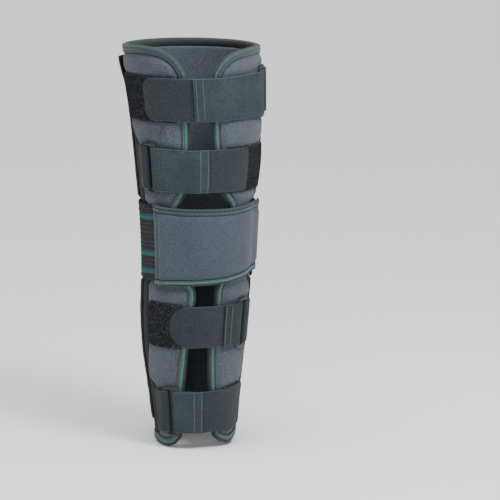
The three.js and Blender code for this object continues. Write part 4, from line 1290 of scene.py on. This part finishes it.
def strapRing(name, strap):
    turns = np.linspace(0, 2 * math.pi, ringMesh["round"], endpoint=False)
    across = 0.5 - 0.5 * np.cos(turns)
    out = 0.5 * np.sign(np.sin(turns)) * np.abs(np.sin(turns)) ** 0.7
    loops = []
    for n, share in enumerate(across):
        bar = share * strapSizes["ringBar"]
        width = strapSizes["ringWidth"] / 2 - bar
        length = strapSizes["ringLength"] / 2 - bar
        radius = max(strapSizes["ringCorner"] - bar, ringMesh["leastRadius"])
        points = []
        for x, z, start in ((1, 1, 0), (-1, 1, 90), (-1, -1, 180), (1, -1, 270)):
            for turn in np.radians(start + np.linspace(0, 90, ringMesh["corner"])):
                points.append((x * (width - radius) + radius * math.cos(turn),
                               z * (length - radius) + radius * math.sin(turn)))
            if x != z:
                points += [(x * width, mix(z, -z, s) * (length - radius))
                           for s in np.linspace(0, 1, ringMesh["side"])[1:-1]]
        points = np.array(points)
        angle = strap["side"] * (strap["ring"] + points[:, 0] / strap["scale"])
        height = strap["middle"] + strapRise(strap, strap["side"] * strap["ring"]) + points[:, 1]
        loops.append(onWrap(angle, height, ringLift + out[n] * strapSizes["ringThickness"]))
    loops = np.stack(loops, axis=1)
    rows, count = loops.shape[:2]
    u, v = np.meshgrid(np.arange(rows + 1) * 3.0, np.arange(count + 1) * 1.0, indexing="ij")
    return loftPiece(name, loops, np.stack([u, v], axis=-1), "plastic", closed=True)


# How much further out the elastic lies where it passes over a stay sleeve
def elasticLift(angle):
    over = (wrap["sideFoam"] + sleeveThickness(0.0) + 2 * wrap["layerGap"]
            - wrap["foam"] - wrap["elasticGap"])
    half = sleeveSizes["width"] / 2 / kneeScale
    away = np.minimum(np.abs(angle - sleeveSizes["angle"]),
                      np.abs(angle - 360 + sleeveSizes["angle"])) - half
    return max(over, 0) * (
        1 - smooth((away - elasticSizes["sleeveGap"]) / elasticSizes["sleeveFade"]))


# Degrees from a place on the knee pad to its nearer end
def fromPadEnd(angle):
    return np.minimum(angle - padStart, padEnd - angle)


def padBase(angle):
    angle = np.asarray(angle, float)
    onElastic = (wrap["foam"] + wrap["elasticGap"] + elasticLift(angle) + elasticSizes["thickness"]
                 + padSizes["overElastic"] + wrap["layerGap"])
    begin, reach = padSizes["settle"]
    settled = smooth((fromPadEnd(angle) - elasticSizes["tuck"] - begin) / reach)
    return mix(onElastic, onFoam, settled) - kneePressed(angle)


# The pad thins towards its sewn ends
def padThickness(angle):
    full = smooth(fromPadEnd(angle) / padSizes["taper"])
    return mix(padSizes["endThickness"], padSizes["thickness"], full)


def kneePad():
    angle = np.linspace(padStart, padEnd, padSizes["columns"])[None]
    share = np.linspace(0, 1, padSizes["rows"])[:, None]
    inside = padSizes["binding"] + wrap["seamGap"]
    height = mix(padEdge("bottom", angle) + inside, padEdge("top", angle) - inside, share)
    angle = np.repeat(angle, padSizes["rows"], axis=0)
    away = edgeAway(onWrap(angle, height, padSizes["middleLift"]))
    sides = (angle - angle[:, :1]) * kneeScale
    hem = np.minimum(sides, sides[:, -1:] - sides) - padSizes["hem"]
    groove = padSizes["hemDepth"] * np.exp(-(hem / padSizes["hemWidth"]) ** 2)
    body = smooth(hem / padSizes["hemRound"]) * smooth(away / padSizes["crownRound"])
    soft = padSizes["ripple"] * ripple(angle, height, padSizes["rippleSize"], seed=21) * body
    full = smooth(fromPadEnd(angle) / padSizes["taper"])
    dip = padSizes["edgeDip"] * (1 - smooth(away / padSizes["edgeRound"]))
    lift = padFace(angle) - dip - groove + padSizes["crown"] * body * full + soft
    return clothPanel("knee_pad_cloth", angle, height, padBase(angle), lift, "pad")


def padFace(angle):
    return padBase(angle) + padThickness(angle)


def padTapeLines(edge):
    angle = np.linspace(padStart, padEnd, padSizes["tapeRows"])
    outer = padEdge(edge, angle)
    inwards = -padSizes["binding"] if edge == "top" else padSizes["binding"]
    return np.stack([angle, outer], axis=1), np.stack([angle, outer + inwards], axis=1)


# How far a rib stands up, as a share, at a height on the elastic
def ribAt(rise):
    grooves = np.array(elasticSizes["grooves"])
    k = np.clip(np.searchsorted(grooves, rise) - 1, 0, len(grooves) - 2)
    share = np.clip((rise - grooves[k]) / (grooves[k + 1] - grooves[k]), 0, 1)
    return np.sqrt(np.clip(4 * share * (1 - share), 0, 1))


def kneeElastic():
    start = padEnd - elasticSizes["tuck"]
    end = 360 + padStart + elasticSizes["tuck"]
    rise = np.linspace(0, elasticSizes["height"], elasticSizes["rows"])[:, None]
    angle = np.linspace(start, end, elasticSizes["columns"])[None]
    rise, angle = np.broadcast_arrays(rise, angle)
    height = elasticSizes["from"] + rise
    toTop = elasticSizes["height"] - rise
    ease = smooth(rise / elasticSizes["endEase"]) * smooth(toTop / elasticSizes["endEase"])
    tilt = np.clip((angle - elasticSizes["tiltFrom"]) / elasticSizes["tiltAngle"], 0, 1)
    waver = rise - elasticSizes["tilt"] * tilt * ease
    waver = waver + elasticSizes["waver"] * ripple(
        angle, height * elasticSizes["waverStretch"], elasticSizes["waverSize"], seed=14)
    near = wrap["foam"] + wrap["elasticGap"] + elasticLift(angle) - kneePressed(angle)
    inside = smooth(np.minimum(rise, toTop) / elasticSizes["edgeRound"])
    far = near + elasticSizes["thickness"] * mix(elasticSizes["edgeThin"], 1, inside)
    far = far + ribAt(waver) * elasticSizes["rib"]
    return clothPanel("knee_elastic_cloth", angle, height, near, far, "elastic", across=waver)


def newTree(name, inputs):
    tree = bpy.data.node_groups.new(name, "GeometryNodeTree")
    tree.interface.new_socket("Geometry", in_out="INPUT", socket_type="NodeSocketGeometry")
    tree.interface.new_socket("Geometry", in_out="OUTPUT", socket_type="NodeSocketGeometry")
    for label, value in inputs.items():
        kind = "NodeSocketInt" if isinstance(value, int) else "NodeSocketFloat"
        tree.interface.new_socket(label, in_out="INPUT", socket_type=kind).default_value = value
    source = tree.nodes.new("NodeGroupInput")
    return tree, {socket.name: Link(tree, socket) for socket in source.outputs if socket.name}


def finishTree(tree, geometry, finish):
    solidCopies = add(tree, "GeometryNodeRealizeInstances", None, {"Geometry": geometry})
    shaded = add(tree, "GeometryNodeSetShadeSmooth", None, {"Geometry": solidCopies})
    painted = add(tree, "GeometryNodeSetMaterial", None, {"Geometry": shaded, "Material": finishes[finish]})
    end = tree.nodes.new("NodeGroupOutput")
    tree.links.new(painted.socket, end.inputs["Geometry"])


# Stitches along the edges of a mesh. outwards is a vector attribute, which points off the cloth.
def stitchTree(name, finish, sizes):
    tree, given = newTree(name, sizes)
    curve = add(tree, "GeometryNodeMeshToCurve", None, {"Mesh": given["Geometry"]})
    evenCurve = add(tree, "GeometryNodeResampleCurve", {"mode": "LENGTH"}, {
        "Curve": curve, "Length": given["Pitch"]})
    tangent = add(tree, "GeometryNodeInputTangent")
    normal = add(tree, "GeometryNodeInputNamedAttribute", {"data_type": "FLOAT_VECTOR"}, {
        "Name": "outwards"})
    side = add(tree, "ShaderNodeVectorMath", {"operation": "CROSS_PRODUCT"}, {0: normal, 1: tangent})
    index = add(tree, "GeometryNodeInputIndex")
    turn = (index % 2) * 2 - 1
    reach = add(tree, "ShaderNodeVectorMath", {"operation": "SCALE"}, {
        0: side, "Scale": turn * given["Width"]})
    run = add(tree, "ShaderNodeVectorMath", {"operation": "SCALE"}, {
        0: tangent, "Scale": given["Pitch"]})
    along = add(tree, "ShaderNodeVectorMath", {"operation": "ADD"}, {0: run, 1: reach})
    turned = add(tree, "FunctionNodeAxesToRotation", {"primary_axis": "X", "secondary_axis": "Z"},
                 {0: along, 1: normal})
    ball = add(tree, "GeometryNodeMeshIcoSphere", None, {"Radius": 0.5, "Subdivisions": 1})
    size = add(tree, "ShaderNodeCombineXYZ", None, {
        0: given["Length"], 1: given["Thread"], 2: given["Thread"]})
    placed = add(tree, "GeometryNodeInstanceOnPoints", None, {
        "Points": evenCurve, "Instance": ball, "Rotation": turned, "Scale": size})
    finishTree(tree, placed, finish)
    return tree


# Short tufts over a pile
def pileTree(name, finish, sizes):
    tree, given = newTree(name, sizes)
    spread = add(tree, "GeometryNodeDistributePointsOnFaces", {"distribute_method": "RANDOM"}, {
        "Mesh": given["Geometry"], "Density": given["Density"], "Seed": given["Seed"]})
    turned = Link(tree, spread.socket.node.outputs["Rotation"])
    lean = add(tree, "FunctionNodeRandomValue", {"data_type": "FLOAT_VECTOR"}, {
        "Min": (-0.9, -0.9, 0), "Max": (0.9, 0.9, 6.3), "Seed": given["Seed"]})
    leaning = add(tree, "FunctionNodeEulerToRotation", None, {"Euler": lean})
    rotation = add(tree, "FunctionNodeRotateRotation", {"rotation_space": "LOCAL"}, {
        "Rotation": turned, "Rotate By": leaning})
    tuft = add(tree, "GeometryNodeMeshCone", None, {
        "Vertices": 3, "Radius Top": 0.0, "Radius Bottom": given["Radius"], "Depth": 1.0}, output="Mesh")
    size = add(tree, "ShaderNodeCombineXYZ", None, {0: 1.0, 1: 1.0, 2: given["Height"]})
    placed = add(tree, "GeometryNodeInstanceOnPoints", None, {
        "Points": Link(tree, spread.socket.node.outputs["Points"]), "Instance": tuft,
        "Rotation": rotation, "Scale": size})
    finishTree(tree, placed, finish)
    return tree


# Runs a tree on an object and keeps the result as a plain mesh
def bakeTree(piece, tree, values):
    modifier = piece.modifiers.new(tree.name, "NODES")
    modifier.node_group = tree
    keys = {item.name: item.identifier for item in tree.interface.items_tree if item.in_out == "INPUT"}
    for label, value in values.items():
        modifier[keys[label]] = value
    bpy.context.view_layer.update()
    graph = bpy.context.evaluated_depsgraph_get()
    mesh = bpy.data.meshes.new_from_object(piece.evaluated_get(graph))
    piece.modifiers.remove(modifier)
    old = piece.data
    piece.data = mesh
    bpy.data.meshes.remove(old)


# One piece of stitches along lines, each a pair of points and outward directions
def stitches(name, lines, sizes, finish="thread"):
    points = []
    normals = []
    edges = []
    for line, facing in lines:
        start = len(points)
        points += (line / 1000).tolist()
        normals += np.broadcast_to(facing, line.shape).tolist()
        edges += [(start + n, start + n + 1) for n in range(len(line) - 1)]
    mesh = bpy.data.meshes.new(name)
    mesh.from_pydata(points, edges, [])
    attribute = mesh.attributes.new("outwards", "FLOAT_VECTOR", "POINT")
    attribute.data.foreach_set("vector", np.array(normals).ravel())
    piece = addObject(name, mesh)
    bakeTree(piece, stitchTree(name + "_tree", finish, sizes), sizes)
    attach(piece, "root")
    print("stitched", name, len(piece.data.polygons), "faces")
    return piece


# Kinds of stitch, in metres: the step, the swing to either side, the thread and one stitch's length
zigzag = {"Pitch": 0.0019, "Width": 0.0018, "Thread": 0.0007, "Length": 0.0026}
lapZigzag = {"Pitch": 0.0016, "Width": 0.0011, "Thread": 0.0007, "Length": 0.0019}
running = {"Pitch": 0.003, "Width": 0.0, "Thread": 0.0006, "Length": 0.0024}
fine = {"Pitch": 0.0018, "Width": 0.0, "Thread": 0.0005, "Length": 0.0013}


def wrapTape(piece, lines, node, finish):
    outer, inner = lines
    tape = tapePiece(piece, outer, inner, flatBase, foamThickness, wrap["bindingWidth"], finish)
    return worn(tape, node)


for name in ("outer", "inner"):
    worn(frontWing(name), f"wing_{name}")
    wrapTape(f"edge_tape_{name}", wingTapeLines(name), f"wing_binding_{name}", f"tape_{name}")
    worn(sidePanel(name), f"side_panel_{name}")
    worn(staySleeve(name), f"stay_sleeve_{name}")
worn(backPanel(), "back_panel")
for edge in ("Top", "Bottom"):
    low = edge.lower()
    wrapTape(f"back_tape_{low}", backTapeLines(edge), f"back_binding_{low}", "tape_back")
print("wrap made")

for n, strap in enumerate(straps, 1):
    webbing = strapPiece(f"webbing_{n}", strap, webbingStations(strap), strapSizes["webbing"],
                         strap["finish"], seed=30 + n, step=0.8)
    worn(webbing, f"webbing_strap_{n}")
    hookTab = strapPiece(f"hook_tab_face_{n}", strap, hookTabStations(strap), strapSizes["hookTab"],
                         "twill", seed=40 + n, step=0.9)
    worn(hookTab, f"hook_tab_{n}")
    anchor = strapPiece(f"anchor_{n}", strap, anchorStations(strap), strapSizes["webbing"],
                        strap["anchorFinish"], seed=50 + n, step=0.8)
    worn(anchor, f"anchor_tab_{n}")
    patch = strapPiece(f"loop_pile_{n}", strap, patchStations(strap), strapSizes["patch"],
                       "loop", seed=60 + n, step=1.5)
    worn(patch, f"loop_patch_{n}")
    worn(strapRing(f"strap_ring_{n}", strap), f"ring_{n}")
print("straps made")

worn(kneePad(), "knee_pad")
for edge in ("top", "bottom"):
    tape = tapePiece(f"pad_tape_{edge}", *padTapeLines(edge), padBase, padThickness, padSizes["binding"],
                     f"pad_tape_{edge}")
    worn(tape, f"knee_pad_binding_{edge}")
worn(kneeElastic(), "knee_elastic")
print("knee pad and elastic made")

# Where the rows of stitches lie, in millimetres
stitchPlaces = {
    "tape": 8.1,  # from the tape's edge
    "tapeLift": 6.15,
    "tapeBelow": 190,  # above it the outer flap's tape is turned
    "padTop": 7.6,
    "padBottom": 7.7,
    "padSunk": 0.15,
    "hemSunk": 0.75,
    "hemEnds": 9,
    "anchor": (2, 5),  # from the anchor's end
    "strapEnds": 2,
    "raised": 0.1,
    "panel": 2.2,  # from a seam
    "panelSunk": 0.1,
    "panelFrom": 0.03,  # shares of the height
    "panelTo": 0.965,
    "sleeve": 0.88,  # share of the sleeve's half width
    "sleeveLift": 0.36,  # share of its thickness
    "sleeveEnds": 2,
    "panelSteps": 160,
    "hemSteps": 40,
}


# A row of places between a tape's outer and inner lines, at a distance from its edge
def tapeRow(outer, inner, across, width, lift, base=flatBase, below=math.inf):
    place = mix(outer, inner, across / width)
    place = place[place[:, 1] < below]
    return onWrap(place[:, 0], place[:, 1], base(place[:, 0]) + lift), outwards(place[:, 0])


def wrapTapeRow(outer, inner, below=math.inf):
    return tapeRow(outer, inner, stitchPlaces["tape"], wrap["bindingWidth"], stitchPlaces["tapeLift"],
                   below=below)


# A row across a strap, at a distance along it
def strapRow(strap, along, lift, count=24):
    half = halfStrap - stitchPlaces["strapEnds"]
    angle, height = strapPlace(strap, along, np.linspace(-half, half, count))
    angle = np.full(count, angle)
    return onWrap(angle, height, lift), outwards(angle)


outer, inner = wingTapeLines("outer")
middle = len(outer) // 2
tapeRows = [wrapTapeRow(outer[:middle], inner[:middle]),
            wrapTapeRow(outer[middle:], inner[middle:], stitchPlaces["tapeBelow"])]
tapeRows += [wrapTapeRow(*backTapeLines(edge)) for edge in ("Top", "Bottom")]
stitches("tape_stitches", tapeRows, zigzag)

lapTop = onTab + strapSizes["webbing"] + stitchPlaces["raised"]
anchorTop = onFoam + 2 * strapSizes["webbing"] + wrap["layerGap"] + stitchPlaces["raised"]
lapRows = []
anchorRows = []
for strap in straps:
    start = strap["lap"] * strap["scale"]
    lapRows += [strapRow(strap, start + away, lapTop) for away in strap["stitch"]]
    anchorRows += [strapRow(strap, anchorEnd(strap) - away, anchorTop + n * stitchPlaces["raised"])
                   for n, away in enumerate(stitchPlaces["anchor"])]
stitches("lap_stitches", lapRows, lapZigzag, "paleThread")
stitches("anchor_stitches", anchorRows, running, "paleThread")

padRows = [tapeRow(*padTapeLines(edge), stitchPlaces[key], padSizes["binding"], -stitchPlaces["padSunk"],
                   padFace)
           for edge, key in (("top", "padTop"), ("bottom", "padBottom"))]
for angle in (padStart + padSizes["hem"] / kneeScale, padEnd - padSizes["hem"] / kneeScale):
    height = np.linspace(float(padEdge("bottom", angle)) + stitchPlaces["hemEnds"],
                         float(padEdge("top", angle)) - stitchPlaces["hemEnds"],
                         stitchPlaces["hemSteps"])
    angle = np.full(len(height), angle)
    padRows.append((onWrap(angle, height, padFace(angle) - stitchPlaces["hemSunk"]), outwards(angle)))
stitches("pad_stitches", padRows, fine, "darkThread")

panelRows = []


def addPanelRow(angle, heights, lift):
    panelRows.append((onWrap(angle, heights, lift), outwards(angle)))


for name, sign in sideSign.items():
    heights = np.linspace(heightAt(stitchPlaces["panelFrom"]), heightAt(stitchPlaces["panelTo"]),
                          stitchPlaces["panelSteps"])
    away = stitchPlaces["panel"] / degreeLength(heights)
    for angle, foam in ((sign * (wrap["backSeam"] - away), "sideFoam"),
                        (sign * (wrap["backSeam"] + away), "foam"),
                        (seamAt(name, heights) + sign * away, "sideFoam")):
        addPanelRow(angle, heights, wrap[foam] - stitchPlaces["panelSunk"] - kneePressed(angle, heights))
    heights = np.linspace(heightAt(sleeveLift["at"][0]) + stitchPlaces["sleeveEnds"],
                          heightAt(sleeveLift["at"][-1]) - stitchPlaces["sleeveEnds"],
                          stitchPlaces["panelSteps"])
    lift = sleeveBase(name, heights) + stitchPlaces["sleeveLift"] * sleeveThickness(heights)
    for edge in (-1, 1):
        addPanelRow(sleeveAngle(name, heights, edge * stitchPlaces["sleeve"]), heights, lift)
stitches("panel_stitches", panelRows, running, "darkThread")

pile = {"Density": 1500000.0, "Height": 0.0011, "Radius": 0.00022, "Seed": 5}

# Bare margins of a patch's tufts, in degrees at its ends and in millimetres above and below
pileMargins = {"tab": 2.5, "end": 1.2, "side": 1.2, "sunk": 0.1, "columns": 30, "rows": 24}


# Tufts on a loop patch, where its hook tab leaves it bare
def tufts(name, strap):
    along = np.linspace(strap["tabEnd"] + pileMargins["tab"], strap["patchTo"] + pileMargins["end"],
                        pileMargins["columns"])
    half = strapSizes["patchHeight"] / 2 - pileMargins["side"]
    across = np.linspace(-half, half, pileMargins["rows"])[:, None]
    angle, height = strapPlace(strap, along[None] * strap["scale"], across)
    points = onWrap(angle, height, onFoam + strapSizes["patch"] - pileMargins["sunk"])
    rows, columns = points.shape[:2]
    faces = [(j * columns + i, j * columns + i + 1, (j + 1) * columns + i + 1, (j + 1) * columns + i)
             for j in range(rows - 1) for i in range(columns - 1)]
    if strap["side"] > 0:
        faces = [face[::-1] for face in faces]
    mesh = bpy.data.meshes.new(name)
    mesh.from_pydata((points.reshape(-1, 3) / 1000).tolist(), [], faces)
    piece = addObject(name, mesh)
    bakeTree(piece, pileTree(name + "_tree", "tuft", pile), pile)
    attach(piece, "root")
    print("tufts on", name, len(piece.data.polygons), "faces")


for n, strap in enumerate(straps[:3], 1):
    tufts(f"loop_tufts_{n}", strap)

view = {
    "azimuth": -6,
    "elevation": 10,
    "distance": 3.4,
    "frameWidth": 0.6,  # metres across the picture at the hollow's middle
    "aimRight": 0.06096,
    "aimUp": -0.012,
    "sensor": 36,
    "farthest": 40,
}

studio = {
    "floorSize": 14,
    "floorGap": 0.0006,
    "floor": 0.93,
    "floorMottle": 0.02,
    "world": 0.17,
    "sky": 3.4,
    "skyAngle": 70,
    "skyTurn": (8, -6, 0),
}

lamps = {
    "keyLight": {"place": (0.5, -0.72, 1.1), "aim": (0, 0, 0.2), "size": 0.45, "power": 18},
    "fillLight": {"place": (-0.5, -2.4, 0.5), "aim": (0, 0, 0), "size": 1.0, "power": 10},
}

floorHeight = cadBox[0][2] - studio["floorGap"]
bpy.ops.mesh.primitive_plane_add(size=studio["floorSize"], location=(0, 0, floorHeight))
floor = bpy.context.object
floor.name = "studio_floor"
floorFinish = Finish("studioFloor", 0.9)
floorTints = [(level, level, level, 1)
              for level in (studio["floor"], studio["floor"] + studio["floorMottle"])]
floorFinish.join(floorFinish.mixed(floorFinish.noise(300), *floorTints), "Base Color")
floor.data.materials.append(floorFinish.material)

for name, lamp in lamps.items():
    light = bpy.data.lights.new(name, "AREA")
    light.shape = "DISK"
    light.size = lamp["size"]
    light.energy = lamp["power"]
    holder = addObject(name, light)
    holder.location = lamp["place"]
    towards = Vector(lamp["aim"]) - Vector(lamp["place"])
    holder.rotation_euler = towards.to_track_quat("-Z", "Y").to_euler()

skyLight = bpy.data.lights.new("skyLight", "SUN")
skyLight.energy = studio["sky"]
skyLight.angle = math.radians(studio["skyAngle"])
addObject("skyLight", skyLight).rotation_euler = [math.radians(turn) for turn in studio["skyTurn"]]

world = bpy.data.worlds.new("studioWorld")
world.use_nodes = True
background = world.node_tree.nodes["Background"]
background.inputs["Color"].default_value = (1, 1, 1, 1)
background.inputs["Strength"].default_value = studio["world"]
bpy.context.scene.world = world

azimuth, elevation = math.radians(view["azimuth"]), math.radians(view["elevation"])
back = Vector((math.sin(azimuth) * math.cos(elevation), -math.cos(azimuth) * math.cos(elevation),
               math.sin(elevation)))
right = Vector((math.cos(azimuth), math.sin(azimuth), 0))
up = right.cross(-back).normalized()
up = up if up.z > 0 else -up
lens = bpy.data.cameras.new("photoCamera")
lens.sensor_width = view["sensor"]
lens.lens = view["sensor"] * view["distance"] / view["frameWidth"]
lens.clip_end = view["farthest"]
camera = addObject("photoCamera", lens)
camera.location = right * view["aimRight"] + up * view["aimUp"] + back * view["distance"]
camera.rotation_euler = (-back).to_track_quat("-Z", "Y").to_euler()
bpy.context.scene.camera = camera
print("stage, light and camera made")
